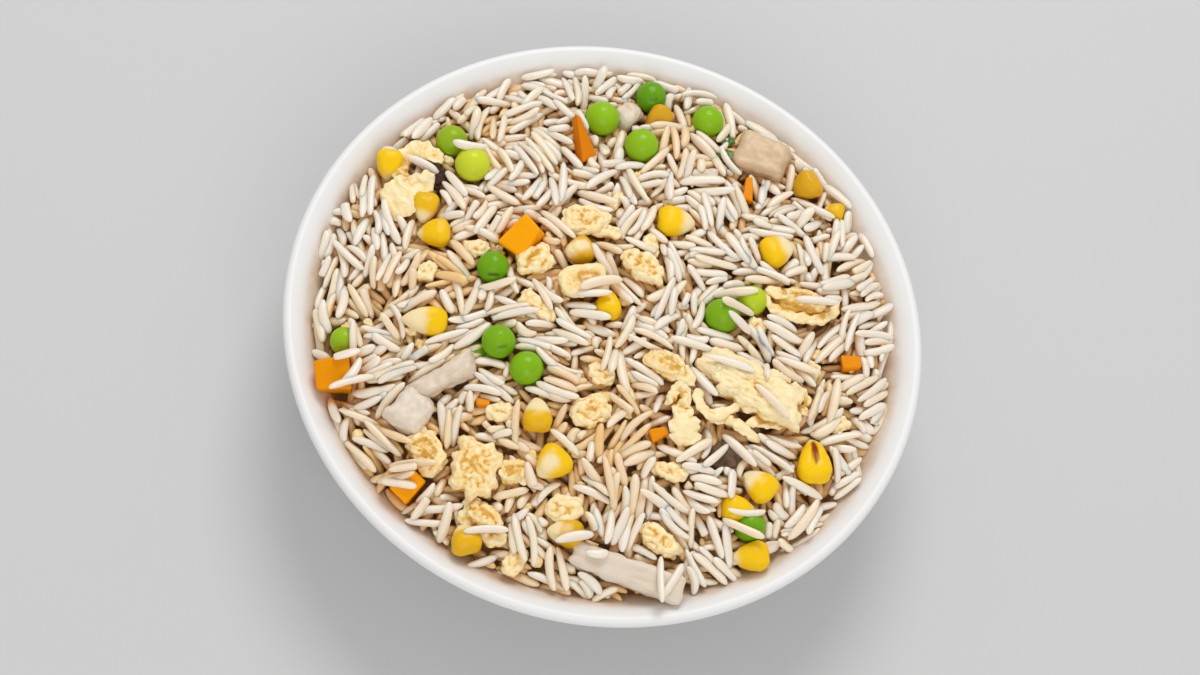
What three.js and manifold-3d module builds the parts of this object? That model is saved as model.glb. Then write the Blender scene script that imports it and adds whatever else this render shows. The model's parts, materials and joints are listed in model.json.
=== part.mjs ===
// A round white deep plate heaped with egg fried rice: long-grain rice with green peas, sweetcorn, diced
// carrot, scrambled egg, cooked chicken and dark mushroom.
//
// Units are millimetres and +Z is up. The origin is the centre of the foot ring on the table, +X is to the
// right and +Y is to the back of the plate as it is served.
//
// The plate is one turned solid. The rice is one solid: a lumpy core that fills the plate, with grains at
// true size fused on its top, and with a pocket for every larger topping. Each larger topping is a solid of
// its own that sits in its pocket with a small gap. Scraps under about 7 mm are fused to the rice.

import * as THREE from "three";
import { mergeVertices } from "three/addons/utils/BufferGeometryUtils.js";
import { ConvexGeometry } from "three/addons/geometries/ConvexGeometry.js";
import Module from "manifold-3d";

// ---------------------------------------------------------------- driving dimensions

const RIM_DIAMETER = 156;
const PLATE_HEIGHT = 34;
const WALL = 3; // thickness of the plate
const WELL_RADIUS = 34; // the flat bottom inside the plate
const WELL_FLOOR = 6.2; // height of that flat bottom
const SWEEP = 0.8; // share of a half turn that the wall's S-curve uses: it ends at about 25 degrees
const FOOT_RADIUS = 42;
const FOOT_WIDTH = 3.6;
const FOOT_HEIGHT = 2.8;
const PLATE_SIDES = 40;
const LIP_INSET = 1.6; // the wall's sweep ends this far inside the rim
const LIP_DROP = 0.5; // and this far below it
const FOOT_FLARE = 1.2; // the foot's root is wider than its tread
const UNDER_RADII = [68, 57, 46]; // where the underside bends, lip to foot

const HEAP_RADIUS = 70.8; // where the rice meets the wall
const HEAP_PEAK = 6; // height of the heap's middle above the rim
const HEAP_DROP = 9.2; // from the heap's middle to its edge
const HEAP_POWER = 2.4; // how flat the heap's top is
const GRAIN_COVER = 1.6; // the fused grains stand this far above the core
const CORE_RADIUS = 69.2;
const CORE_SIDES = 20;
const CORE_EDGE = 0.6; // height of the core's upright edge
const CORE_TOP_RADII = [68.6, 61, 53, 45, 36, 27, 18, 9, 0];
const LUMP_HEIGHT = 0.8;
const LUMP_LENGTH = 30;

const GRAIN_COUNT = 185; // places tried; a grain that would cross a topping or the plate is left out
const GRAIN_TRIES = 14; // each with another turn, and a place up to half the wander away
const GRAIN_WANDER = 2.6;
const GRAIN_LENGTH = 9;
const GRAIN_WIDTH = 2.3;
const GRAIN_SINK = 0.28; // share of its width that a grain's middle stands above the core

const SCRAP_THICKNESS = 3.4;
const SCRAP_SINK = 0.6; // the fused scraps' middles lie this far below the heap's surface

const GAP = 0.3; // clearance between a topping and whatever holds it
const GAP_GAIN = 1.35; // the faces of a coarse solid move out less than its corners do
const WELD = 0.02; // corners closer than this are one corner
const HEADROOM = 20; // how far above the rim food may reach

// Starts of the random draws.
const SEEDS = { rice: 7, pea: 100, carrot: 300, chicken: 400, mushroom: 500, egg: 600, scrap: 700 };

// ---------------------------------------------------------------- where the toppings lie
// Each row: x, y, length, width, thickness, turn about Z, tip of the far end upwards, roll about the length
// (degrees), and the height of the middle above the heap's surface.

const PEAS = [
  // x, y, diameter, height of the middle above the heap's surface
  [-50, 34, 8.4, 1.2],
  [-43, 28, 9, 1.8],
  [-30, 1.5, 8.3, 0.6],
  [-6.5, 64.5, 8.2, 0.8],
  [-16.5, 52.5, 9, 1.2],
  [-5, 47.5, 8.8, 1.2],
  [9, 62, 8.3, 1.4],
  [-58, -26.5, 7.4, 1],
  [-23, -17.5, 8.6, 1.4],
  [-27, -20, 7.4, -3.4],
  [-14.8, -22, 8.4, 1.2],
  [26, 7.5, 9, 0.8],
  [32, 14.5, 7.8, 0.6],
  [46.5, -40.5, 8, 0.4],
];

const CORN = [
  [-62.5, 23, 9, 7, 6, 104, 10, 0, 1.6],
  [-50.5, 13.5, 9, 7, 5, 100, 0, 0, 0.4],
  [-46, 6.5, 8.6, 7.4, 5, 20, 6, 0, 1],
  [-41, -17, 12, 7.6, 5.2, 14, 0, 12, 1],
  [-3, 58.5, 8.6, 6.6, 4.6, 62, 16, 30, 0],
  [37.5, 53, 8, 7.8, 6.4, 40, 40, 0, 1.4],
  [8.5, 28.5, 10, 8.2, 5.6, 192, 4, 0, 1],
  [34.5, 30.5, 9.8, 8.6, 5.6, 222, 6, 0, 1],
  [-11.5, 12.5, 8.4, 7.2, 6, 40, -30, 0, 0.6],
  [-1, 0.5, 8.4, 7, 5.2, 284, 0, 10, 0.2],
  [-9, -32.5, 9.8, 7.4, 5.4, 286, 8, 0, 1],
  [-2, -42.5, 9.6, 9, 5.4, 60, 6, 0, 1.2],
  [-16, -65.5, 8.4, 7.6, 5.6, 300, 10, 0, 1.6],
  [6, -57, 9.4, 7, 5.4, 12, -8, 0, 0.8],
  [57, -20.5, 12.4, 8.8, 5.8, 288, 6, 0, 1.8],
  [46, -31, 9.6, 8, 5, 336, 8, 0, 1.6],
  [42.5, -38, 8.6, 7.2, 5, 196, 0, 0, 0.8],
  [49, -47.5, 9.6, 7.6, 5.4, 20, 6, 0, 1.4],
];

const CARROTS = [
  // the last number is the share by which the width shrinks towards the far end
  [-25.5, 11.2, 8.4, 5.8, 5.6, 64, 24, 0, 1.2, 0],
  [-19.3, 44.3, 11.4, 3.8, 3.4, 118, 6, 20, 0.8, 0.7],
  [-57.5, -35.5, 7, 6.6, 6.4, 20, 12, 14, 1.2, 0],
  [-32.8, -56.6, 6.2, 5.4, 5.4, 64, 16, 10, 0.2, 0.2],
];

const CHICKEN = [
  [24.5, 56.5, 13.4, 10, 7.6, 354, 4, 12, 1],
  [-32.5, -29.6, 15.6, 4.8, 3.8, 46, 8, 0, 1.2],
  [-37.5, -40, 10.4, 8.6, 3.8, 70, 0, 8, 1.4],
  [22, -61, 26, 6.2, 4.4, 357, 0, 10, 1],
];

const MUSHROOMS = [
  [-48.5, 22, 9, 5, 2.4, 112, 0, 0, -0.2],
  [36.5, -26.5, 9.6, 7, 2.6, 12, 0, 0, -0.6],
];

const EGGS = [
  // the last two numbers are the number of ruffles round the edge and their height
  [-57, 18.5, 19, 10.4, 3, 54, 0, 6, 1.6, 3, 2.4],
  [-21.5, 7, 11, 9, 2.6, 30, 0, 0, 0.6, 3, 1.6],
  [-12.5, 21, 13, 8.4, 2.6, 16, 4, 0, 0.8, 3, 1.6],
  [-8, 3, 15, 9, 3, 26, 4, 0, 1.8, 4, 2],
  [4.5, 13, 12, 8, 2.6, 340, 6, 0, 1.2, 3, 2],
  [45, 19.2, 18.4, 8, 2.8, 12, 4, 10, 1.6, 3, 2.4],
  [38.5, -8.5, 27, 12, 3.4, 343, 2, 0, 2, 6, 2.6],
  [32.5, -17.6, 18, 4.6, 2.8, 348, 0, 0, 1.2, 3, 1.6],
  [17, -10.5, 13, 6.4, 2.6, 356, 4, 0, 1.4, 3, 2],
  [22.5, -21.5, 14.4, 7.4, 3, 106, 4, 0, 1.4, 3, 2],
  [3, -27, 10.6, 7, 2.6, 30, 0, 0, 0.6, 3, 1.8],
  [-31, -48, 12, 9.6, 2.8, 310, 4, 8, 1, 3, 2],
  [-19, -49.5, 15, 12.6, 3.6, 100, 0, 0, 1.8, 5, 2.4],
  [-13, -59, 12.4, 7.6, 2.8, 350, 0, 0, 1.2, 3, 2],
  [-10, -46.8, 8, 6.8, 2.6, 20, 0, 0, 0.4, 3, 1.4],
  [26.5, -51.5, 11.4, 5.4, 2.4, 330, 6, 0, 1.2, 3, 2],
];

// Scraps fused to the rice: x, y, length, width, turn.
const SCRAPS = [
  [46, 49.5, 5.4, 5, 0], // sweetcorn
  [23.5, 45.5, 6.6, 2.8, 100], // carrot
  [19.5, -29.5, 4, 3.4, 40],
  [-10.8, 56.5, 7, 5.8, 60], // chicken
  [12.5, 45, 6.4, 4.4, 20],
  [-45, -3.6, 6, 4.4, 80], // egg
  [2.5, -17.5, 6, 5.4, 10],
  [25, -35, 8, 4, 10],
  [-17.5, -34, 8, 4.6, 15],
  [-17, -5.5, 9, 4.6, 340],
  [-3.5, -66, 7.6, 5, 80],
  [16.5, 54.5, 6, 5, 0], // spring onion
];

// ---------------------------------------------------------------- numbers and solids

const wasm = await Module();
wasm.setup();

const radians = THREE.MathUtils.degToRad;

// Numbers from 0 to 1 that are the same on every run.
function seeded(seed) {
  let state = seed >>> 0;
  return () => {
    state = (state + 0x6d2b79f5) >>> 0;
    let t = state;
    t = Math.imul(t ^ (t >>> 15), t | 1);
    t ^= t + Math.imul(t ^ (t >>> 7), t | 61);
    return ((t ^ (t >>> 14)) >>> 0) / 4294967296;
  };
}

// The geometry with its shared vertices merged, and nothing but positions.
function merged(geometry) {
  const bare = new THREE.BufferGeometry();
  bare.setAttribute("position", geometry.getAttribute("position").clone());
  bare.setIndex(geometry.index);
  return mergeVertices(bare, 1e-4);
}

function solidOf(geometry) {
  const g = merged(geometry);
  return new wasm.Manifold(
    new wasm.Mesh({
      numProp: 3,
      vertProperties: new Float32Array(g.attributes.position.array),
      triVerts: new Uint32Array(g.index.array),
    }),
  );
}

function geometryOf(solid) {
  const mesh = solid.getMesh();
  const positions = new Float32Array(mesh.numVert * 3);
  for (let i = 0; i < mesh.numVert; i++)
    positions.set(mesh.vertProperties.subarray(i * mesh.numProp, i * mesh.numProp + 3), i * 3);
  const geometry = new THREE.BufferGeometry()
    .setAttribute("position", new THREE.BufferAttribute(positions, 3))
    .setIndex(new THREE.BufferAttribute(mesh.triVerts, 1));
  return withoutSlivers(geometry);
}

// The same surface with corners closer than the weld distance made one, and the triangles this closes gone.
function withoutSlivers(geometry) {
  const welded = mergeVertices(geometry, WELD);
  const corners = Array.from(welded.index.array);
  const kept = [];
  for (let i = 0; i < corners.length; i += 3) {
    const [a, b, c] = corners.slice(i, i + 3);
    if (a !== b && b !== c && c !== a) kept.push(a, b, c);
  }
  return welded.setIndex(kept);
}

// The largest body of a solid, without scraps and with any sealed hollow filled.
function largestBody(solid) {
  const bodies = solid.decompose();
  return bodies.reduce((best, body) => (body.volume() > best.volume() ? body : best));
}

// The same shape with its surface moved outwards, far enough that its faces move by the distance asked.
function grown(geometry, distance) {
  const g = merged(geometry);
  g.computeVertexNormals();
  const position = g.attributes.position;
  const normal = g.attributes.normal;
  const step = distance * GAP_GAIN;
  for (let i = 0; i < position.count; i++)
    position.setXYZ(
      i,
      position.getX(i) + normal.getX(i) * step,
      position.getY(i) + normal.getY(i) * step,
      position.getZ(i) + normal.getZ(i) * step,
    );
  return g;
}

// A closed skin over rings of points: each ring has the same number of points, and the first and last
// entries of the list are single points that close the ends.
function ringedSkin(rings) {
  const positions = rings.flat().flatMap((p) => [p.x, p.y, p.z]);
  const index = [];
  let start = 1;
  const sides = rings[1].length;
  for (let k = 0; k < sides; k++) index.push(0, 1 + ((k + 1) % sides), 1 + k);
  for (let ring = 1; ring < rings.length - 2; ring++, start += sides)
    for (let k = 0; k < sides; k++) {
      const a = start + k;
      const b = start + ((k + 1) % sides);
      index.push(a, b, b + sides, a, b + sides, a + sides);
    }
  const tip = start + sides;
  for (let k = 0; k < sides; k++) index.push(tip, start + k, start + ((k + 1) % sides));
  return new THREE.BufferGeometry()
    .setAttribute("position", new THREE.Float32BufferAttribute(positions, 3))
    .setIndex(index);
}

// ---------------------------------------------------------------- the plate

// Height of the plate's upper face at a radius: a flat well, then one sweep that eases out to the lip.
function wellHeight(radius) {
  const lipRadius = RIM_DIAMETER / 2 - LIP_INSET;
  const lipHeight = PLATE_HEIGHT - LIP_DROP;
  const climb = (share) => 1 - Math.cos(Math.PI * SWEEP * share);
  const share = THREE.MathUtils.clamp((radius - WELL_RADIUS) / (lipRadius - WELL_RADIUS), 0, 1);
  return WELL_FLOOR + ((lipHeight - WELL_FLOOR) * climb(share)) / climb(1);
}

function wellSlope(radius) {
  const step = 0.1;
  return Math.atan2(wellHeight(radius + step) - wellHeight(radius - step), 2 * step);
}

// Radii at which the plate and the rice bend together.
const WALL_RADII = [WELL_RADIUS, 43, 52, 61, CORE_RADIUS];

function plateGeometry() {
  const rim = RIM_DIAMETER / 2;
  const upper = [[0, WELL_FLOOR], ...[...WALL_RADII, rim - LIP_INSET].map((r) => [r, wellHeight(r)])];
  // the rounded lip, as its top, its widest point and where it meets the underside
  const lip = [
    [rim - 0.7, PLATE_HEIGHT],
    [rim, PLATE_HEIGHT - 0.8],
    [rim - 0.2, PLATE_HEIGHT - 2.2],
  ];
  const below = (r) => [r + WALL * Math.sin(wellSlope(r)), wellHeight(r) - WALL * Math.cos(wellSlope(r))];
  const under = UNDER_RADII.map(below);
  const foot = [
    [FOOT_RADIUS + FOOT_FLARE, FOOT_HEIGHT + 1],
    [FOOT_RADIUS, 0],
    [FOOT_RADIUS - FOOT_WIDTH, 0],
    [FOOT_RADIUS - FOOT_WIDTH - 0.8, FOOT_HEIGHT],
    [0, FOOT_HEIGHT],
  ];
  const profile = [...upper, ...lip, ...under, ...foot].map(([r, z]) => new THREE.Vector2(r, z));
  return new THREE.LatheGeometry(profile.reverse(), PLATE_SIDES).rotateX(Math.PI / 2);
}

// ---------------------------------------------------------------- the heap

function heapHeight(x, y) {
  const share = Math.min(Math.hypot(x, y) / HEAP_RADIUS, 1.05);
  return PLATE_HEIGHT + HEAP_PEAK - HEAP_DROP * share ** HEAP_POWER;
}

// Lumps of the core's top, as a sum of waves that cross each other. The numbers only set the strengths,
// lengths and phases of the waves apart, and their sum is brought back to about 1.
function lump(x, y) {
  const turn = (2 * Math.PI) / LUMP_LENGTH;
  const waves =
    Math.sin(turn * x + 0.7) * Math.cos(turn * y - 0.4) +
    0.6 * Math.sin(turn * 0.62 * (x + y) + 2.1) +
    0.5 * Math.cos(turn * 1.45 * (x - 0.6 * y));
  return (LUMP_HEIGHT * waves) / 1.4;
}

function coreHeight(x, y) {
  return heapHeight(x, y) - GRAIN_COVER + lump(x, y);
}

// The core: a turned solid that follows the well from below, with its top moved to the lumpy height.
function coreGeometry() {
  const bottom = [0, ...WALL_RADII].map((r) => [r, wellHeight(r) + GAP / Math.cos(wellSlope(r))]);
  const edge = bottom.at(-1)[1];
  const top = CORE_TOP_RADII.map((r) => [r, PLATE_HEIGHT]);
  const profile = [...bottom, ...top].map(([r, z]) => new THREE.Vector2(r, z));
  const geometry = merged(new THREE.LatheGeometry(profile, CORE_SIDES).rotateX(Math.PI / 2));
  const position = geometry.attributes.position;
  for (let i = 0; i < position.count; i++) {
    const x = position.getX(i);
    const y = position.getY(i);
    const onTop = position.getZ(i) > PLATE_HEIGHT - WELD;
    if (onTop) position.setZ(i, Math.max(coreHeight(x, y), edge + CORE_EDGE));
  }
  return geometry;
}

// Everything inside the plate that may hold food: it keeps toppings off the wall.
function insideOfPlate() {
  const reach = RIM_DIAMETER / 2 - 2;
  const top = PLATE_HEIGHT + HEADROOM;
  const bottom = [0, ...WALL_RADII, 73].map((r) => [r, wellHeight(r) + GAP / Math.cos(wellSlope(r))]);
  const profile = [...bottom, [reach, PLATE_HEIGHT + 1], [reach, top], [0, top]];
  const points = profile.map(([r, z]) => new THREE.Vector2(r, z));
  return solidOf(new THREE.LatheGeometry(points, PLATE_SIDES).rotateX(Math.PI / 2));
}

// ---------------------------------------------------------------- shapes of the food, each about its middle

// One grain of rice along X: a slim spindle with blunt ends and a slight bend. With so few sides its corners
// stand out by a quarter, so that its faces are at the grain's true width.
function grainGeometry(length, width, bend) {
  const sides = 4;
  const stations = [-0.6, 0.6];
  const ring = (s) => {
    const radius = (width / 2) * 1.25 * Math.sqrt(1 - 0.4 * s * s);
    return Array.from({ length: sides }, (_, k) => {
      const angle = (2 * Math.PI * (k + 0.5)) / sides;
      return new THREE.Vector3(
        (s * length) / 2,
        radius * Math.cos(angle) + bend * (1 - s * s),
        radius * Math.sin(angle),
      );
    });
  };
  const end = (s) => [new THREE.Vector3((s * length) / 2, 0, 0)];
  return ringedSkin([end(-1), ...stations.map(ring), end(1)]);
}

// A pea: nearly round, with one shallow dent on top.
function peaGeometry(diameter) {
  const radius = diameter / 2;
  const dentStart = 0.8;
  const geometry = merged(new THREE.IcosahedronGeometry(radius, 1)).scale(1, 0.97, 0.95);
  const position = geometry.attributes.position;
  for (let i = 0; i < position.count; i++) {
    const z = position.getZ(i);
    position.setZ(i, z - 1.2 * Math.max(0, z / radius - dentStart));
  }
  return geometry;
}

// A sweetcorn kernel along X: a broad rounded crown at +X that narrows to the tip at -X. Its section is
// between a circle and a square.
function cornGeometry(length, width, thickness) {
  const sides = 7;
  // place along the kernel, from -1 to 1, and share of the full width there
  const stations = [
    [-0.78, 0.42],
    [-0.2, 0.8],
    [0.4, 1],
    [0.84, 0.7],
  ];
  const ring = ([s, share]) =>
    Array.from({ length: sides }, (_, k) => {
      const angle = (2 * Math.PI * k) / sides;
      const squared = 1 / Math.hypot(Math.abs(Math.cos(angle)) ** 1.3, Math.abs(Math.sin(angle)) ** 1.3);
      return new THREE.Vector3(
        (s * length) / 2,
        (share * squared * width * Math.cos(angle)) / 2,
        (share ** 0.6 * squared * thickness * Math.sin(angle)) / 2,
      );
    });
  const end = (s) => [new THREE.Vector3((s * length) / 2, 0, 0)];
  return ringedSkin([end(-1), ...stations.map(ring), end(0.96)]);
}

// The corners of a cut block, each pushed in or out by up to a twelfth of its thickness.
function blockCorners(length, width, thickness, random) {
  const skew = () => ((random() - 0.5) * thickness) / 6;
  const signs = [-1, 1];
  return signs.flatMap((x) =>
    signs.flatMap((y) =>
      signs.map((z) => [(x * length) / 2 + skew(), (y * width) / 2 + skew(), (z * thickness) / 2 + skew()]),
    ),
  );
}

// A plain cut block with slightly skewed faces.
function blockGeometry(length, width, thickness, random) {
  const corners = blockCorners(length, width, thickness, random);
  return new ConvexGeometry(corners.map((at) => new THREE.Vector3(...at)));
}

// A diced piece: the same block with its corners cut off. Towards +X its width can shrink by a share.
function diceGeometry(length, width, thickness, corner, taper, random) {
  const points = [];
  for (const at of blockCorners(length, width, thickness, random)) {
    at[1] *= 1 - taper * (0.5 + at[0] / length);
    const cut = at.map((v) => v - (Math.sign(v) * corner) / 2);
    for (let axis = 0; axis < 3; axis++)
      points.push(new THREE.Vector3(...cut.map((v, i) => (i === axis ? at[i] : v))));
  }
  return new ConvexGeometry(points);
}

// A scrap of egg or mushroom: a ruffled sheet with a ragged outline, both faces split alike.
function scrapGeometry(length, width, thickness, ruffles, height, random) {
  const sides = Math.max(8, Math.round((length + width) / 3));
  const inner = 0.55; // the inner ring, as a share of the outline
  const crown = 0.3 * height; // the middle stands this much above the edge
  const thinned = 0.7; // the edge is thinner than the middle
  const phase = random() * 2 * Math.PI;
  const reach = Array.from({ length: sides }, () => 0.82 + 0.3 * random());
  const wave = (angle, share) =>
    (height / 2) * share * Math.sin(ruffles * angle + phase) + crown * (1 - share);
  const ring = (share, side) =>
    reach.map((far, k) => {
      const angle = (2 * Math.PI * k) / sides;
      const out = share * far;
      return new THREE.Vector3(
        (out * length * Math.cos(angle)) / 2,
        (out * width * Math.sin(angle)) / 2,
        wave(angle, share) + (side * thickness * (share < 1 ? 1 : thinned)) / 2,
      );
    });
  const middle = (side) => [new THREE.Vector3(0, 0, crown + (side * thickness) / 2)];
  const under = [middle(-1), ring(inner, -1), ring(1, -1)];
  const over = [ring(1, 1), ring(inner, 1), middle(1)];
  return ringedSkin([...under, ...over]);
}

// ---------------------------------------------------------------- placing

// Position and rotation of a topping whose length runs along X before it is turned.
function seat(x, y, turn, tip, roll, lift) {
  const rotation = new THREE.Euler(radians(roll), -radians(tip), radians(turn), "ZYX");
  return { position: new THREE.Vector3(x, y, heapHeight(x, y) + lift), rotation };
}

function matrixOf({ position, rotation }) {
  return new THREE.Matrix4().compose(
    position,
    new THREE.Quaternion().setFromEuler(rotation),
    new THREE.Vector3(1, 1, 1),
  );
}

const toppings = []; // { name, material, place, world }: world is the shape where it lies, after it is cut
const inside = insideOfPlate();

// Adds a topping, cut back where it would meet the plate or a topping that is already there.
function addTopping(name, material, geometry, place) {
  const matrix = matrixOf(place);
  const world = geometry.clone().applyMatrix4(matrix);
  world.computeBoundingBox();
  let solid = solidOf(world).intersect(inside);
  for (const other of toppings)
    if (other.world.boundingBox.clone().expandByScalar(2 * GAP).intersectsBox(world.boundingBox))
      solid = solid.subtract(solidOf(grown(other.world, GAP)));
  solid = largestBody(solid);
  const cut = geometryOf(solid);
  cut.computeBoundingBox();
  toppings.push({ name, material, place, world: cut });
}

// ---------------------------------------------------------------- materials

function finish(color, roughness) {
  return new THREE.MeshStandardMaterial({ color, roughness, metalness: 0 });
}

const MATERIALS = {
  plate: finish(0xe9e7e4, 0.25),
  rice: finish(0xe6dccf, 0.5),
  pea: finish(0x5e9b1c, 0.35),
  corn: finish(0xf0bf22, 0.3),
  carrot: finish(0xf28a12, 0.4),
  egg: finish(0xf4dc9c, 0.55),
  chicken: finish(0xdcc6ac, 0.55),
  mushroom: finish(0x3c2b26, 0.4),
};

// ---------------------------------------------------------------- the larger toppings

const CARROT_CORNER = 0.9; // the cut-off corner of a carrot dice
const CHICKEN_CORNER = 0.45; // that of a chicken piece, as a share of its thickness
const MUSHROOM_RUFFLE = 1.6;

PEAS.forEach(([x, y, diameter, lift], i) => {
  const random = seeded(SEEDS.pea + i);
  const place = seat(x, y, 360 * random(), 50 * random() - 25, 60 * random() - 30, lift);
  addTopping(`pea_${i + 1}`, "pea", peaGeometry(diameter), place);
});

CORN.forEach(([x, y, length, width, thickness, turn, tip, roll, lift], i) => {
  const shape = cornGeometry(length, width, thickness);
  addTopping(`corn_${i + 1}`, "corn", shape, seat(x, y, turn, tip, roll, lift));
});

CARROTS.forEach(([x, y, length, width, thickness, turn, tip, roll, lift, taper], i) => {
  const shape = diceGeometry(length, width, thickness, CARROT_CORNER, taper, seeded(SEEDS.carrot + i));
  addTopping(`carrot_${i + 1}`, "carrot", shape, seat(x, y, turn, tip, roll, lift));
});

CHICKEN.forEach(([x, y, length, width, thickness, turn, tip, roll, lift], i) => {
  const corner = thickness * CHICKEN_CORNER;
  const shape = diceGeometry(length, width, thickness, corner, 0, seeded(SEEDS.chicken + i));
  addTopping(`chicken_${i + 1}`, "chicken", shape, seat(x, y, turn, tip, roll, lift));
});

MUSHROOMS.forEach(([x, y, length, width, thickness, turn, tip, roll, lift], i) => {
  const shape = scrapGeometry(length, width, thickness, 2, MUSHROOM_RUFFLE, seeded(SEEDS.mushroom + i));
  addTopping(`mushroom_${i + 1}`, "mushroom", shape, seat(x, y, turn, tip, roll, lift));
});

EGGS.forEach(([x, y, length, width, thickness, turn, tip, roll, lift, ruffles, height], i) => {
  const shape = scrapGeometry(length, width, thickness, ruffles, height, seeded(SEEDS.egg + i));
  addTopping(`egg_${i + 1}`, "egg", shape, seat(x, y, turn, tip, roll, lift));
});

// ---------------------------------------------------------------- the rice

// True if a point is too near the wall, or too near a topping, taken as the ellipsoid in its box.
function blocked(point, margin) {
  const radius = Math.hypot(point.x, point.y);
  if (radius > HEAP_RADIUS || point.z < wellHeight(radius) + margin + GAP) return true;
  return toppings.some(({ world: { boundingBox: box } }) => {
    const half = box.getSize(new THREE.Vector3()).multiplyScalar(0.5).addScalar(margin + GAP);
    return point.clone().sub(box.getCenter(new THREE.Vector3())).divide(half).length() < 1;
  });
}

// A grain laid on the core at a point, turned and tilted, or null if it would cross something.
function laidGrain(x, y, random) {
  const length = GRAIN_LENGTH * (0.78 + 0.4 * random());
  const width = GRAIN_WIDTH * (0.88 + 0.24 * random());
  const bend = 0.5 * (random() - 0.5) * width;
  const turn = 360 * random();
  const reach = 0.3 * length; // the slope under the grain is taken this far each way
  const dx = reach * Math.cos(radians(turn));
  const dy = reach * Math.sin(radians(turn));
  const slope = Math.atan2(coreHeight(x + dx, y + dy) - coreHeight(x - dx, y - dy), 2 * reach);
  const tip = THREE.MathUtils.radToDeg(slope) + 24 * (random() - 0.5);
  const place = seat(x, y, turn, tip, 30 * (random() - 0.5), 0);
  place.position.z = coreHeight(x, y) + width * GRAIN_SINK;
  const matrix = matrixOf(place);
  for (const s of [-0.5, -0.25, 0, 0.25, 0.5])
    if (blocked(new THREE.Vector3(s * length, 0, 0).applyMatrix4(matrix), width * 0.45)) return null;
  return grainGeometry(length, width, bend).applyMatrix4(matrix);
}

// Places spread evenly over the heap by turning through the golden angle.
function spreadPlace(i, count, radius) {
  const angle = i * Math.PI * (3 - Math.sqrt(5));
  const distance = radius * Math.sqrt((i + 0.5) / count);
  return [distance * Math.cos(angle), distance * Math.sin(angle)];
}

function riceSolid() {
  const random = seeded(SEEDS.rice);
  let rice = solidOf(coreGeometry());
  for (let i = 0; i < GRAIN_COUNT; i++) {
    const [x, y] = spreadPlace(i, GRAIN_COUNT, CORE_RADIUS - 1);
    let grain = null;
    for (let tries = 0; tries < GRAIN_TRIES && !grain; tries++)
      grain = laidGrain(x + GRAIN_WANDER * (random() - 0.5), y + GRAIN_WANDER * (random() - 0.5), random);
    if (grain) rice = rice.add(solidOf(grain));
  }
  SCRAPS.forEach(([x, y, length, width, turn], i) => {
    const matrix = matrixOf(seat(x, y, turn, 0, 0, -SCRAP_SINK));
    const scrap = blockGeometry(length, width, SCRAP_THICKNESS, seeded(SEEDS.scrap + i));
    rice = rice.add(solidOf(scrap.applyMatrix4(matrix)));
  });
  for (const topping of toppings) rice = rice.subtract(solidOf(grown(topping.world, GAP)));
  return largestBody(rice.intersect(inside));
}

// ---------------------------------------------------------------- the assembled group

const part = new THREE.Group();

function addMesh(name, material, geometry) {
  const mesh = new THREE.Mesh(geometry, MATERIALS[material]);
  mesh.name = name;
  part.add(mesh);
  return mesh;
}

addMesh("plate", "plate", plateGeometry());
addMesh("rice", "rice", geometryOf(riceSolid()));
for (const { name, material, place, world } of toppings) {
  const local = world.clone().applyMatrix4(matrixOf(place).invert());
  const mesh = addMesh(name, material, local);
  mesh.position.copy(place.position);
  mesh.rotation.copy(place.rotation);
}

export default part;
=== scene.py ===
"""Fried rice plate: a round white deep plate heaped with egg fried rice.

The plate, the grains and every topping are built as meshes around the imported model. Lengths in the tables
are millimetres in the frame of the part: +X to the right, +Y to the back, +Z up from the table.
"""

import json
import math

import bpy
import numpy as np
from mathutils import Matrix, Vector, noise

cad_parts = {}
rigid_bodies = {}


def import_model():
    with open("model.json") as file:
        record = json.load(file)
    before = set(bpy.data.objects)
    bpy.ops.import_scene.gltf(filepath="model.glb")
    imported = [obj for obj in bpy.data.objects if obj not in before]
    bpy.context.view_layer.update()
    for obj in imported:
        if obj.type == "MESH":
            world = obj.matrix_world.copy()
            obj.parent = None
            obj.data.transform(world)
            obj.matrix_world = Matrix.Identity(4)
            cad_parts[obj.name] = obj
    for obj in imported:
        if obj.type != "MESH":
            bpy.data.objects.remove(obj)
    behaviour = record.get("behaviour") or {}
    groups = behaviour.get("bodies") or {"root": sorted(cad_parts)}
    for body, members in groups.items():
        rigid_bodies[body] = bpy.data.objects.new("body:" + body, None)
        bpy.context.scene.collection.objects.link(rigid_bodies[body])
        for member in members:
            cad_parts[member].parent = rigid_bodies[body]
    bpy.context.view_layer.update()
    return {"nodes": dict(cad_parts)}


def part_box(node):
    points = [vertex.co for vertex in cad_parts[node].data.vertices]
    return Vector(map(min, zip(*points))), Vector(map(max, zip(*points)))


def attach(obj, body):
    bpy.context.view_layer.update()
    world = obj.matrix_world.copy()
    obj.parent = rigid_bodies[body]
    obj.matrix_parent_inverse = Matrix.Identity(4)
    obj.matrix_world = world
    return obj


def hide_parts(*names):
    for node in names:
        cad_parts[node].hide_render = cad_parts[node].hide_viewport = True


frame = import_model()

bl_info = {
    "name": "Fried rice plate",
    "version": (1, 0, 0),
    "blender": (4, 5, 0),
    "location": "3D View > Sidebar > Fried rice",
    "description": "Builds a deep plate heaped with egg fried rice and its studio",
    "category": "Add Mesh",
}

MM = 0.001
PLATE_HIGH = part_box("plate")[1]
RIM_RADIUS = PLATE_HIGH.x / MM
RIM_HEIGHT = PLATE_HIGH.z / MM

# The plate: a level well, a wall that sweeps up to a rounded lip, and a foot ring.
WALL = 3.0
WELL_RADIUS = 34.0
WELL_FLOOR = 6.2
SWEEP = 0.8  # of half a turn
WALL_END_INSET = 1.6
WALL_END_DROP = 0.5
FOOT_RADIUS = 42.0
FOOT_WIDTH = 3.6
FOOT_HEIGHT = 2.8
FOOT_EDGE = 0.5

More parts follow.
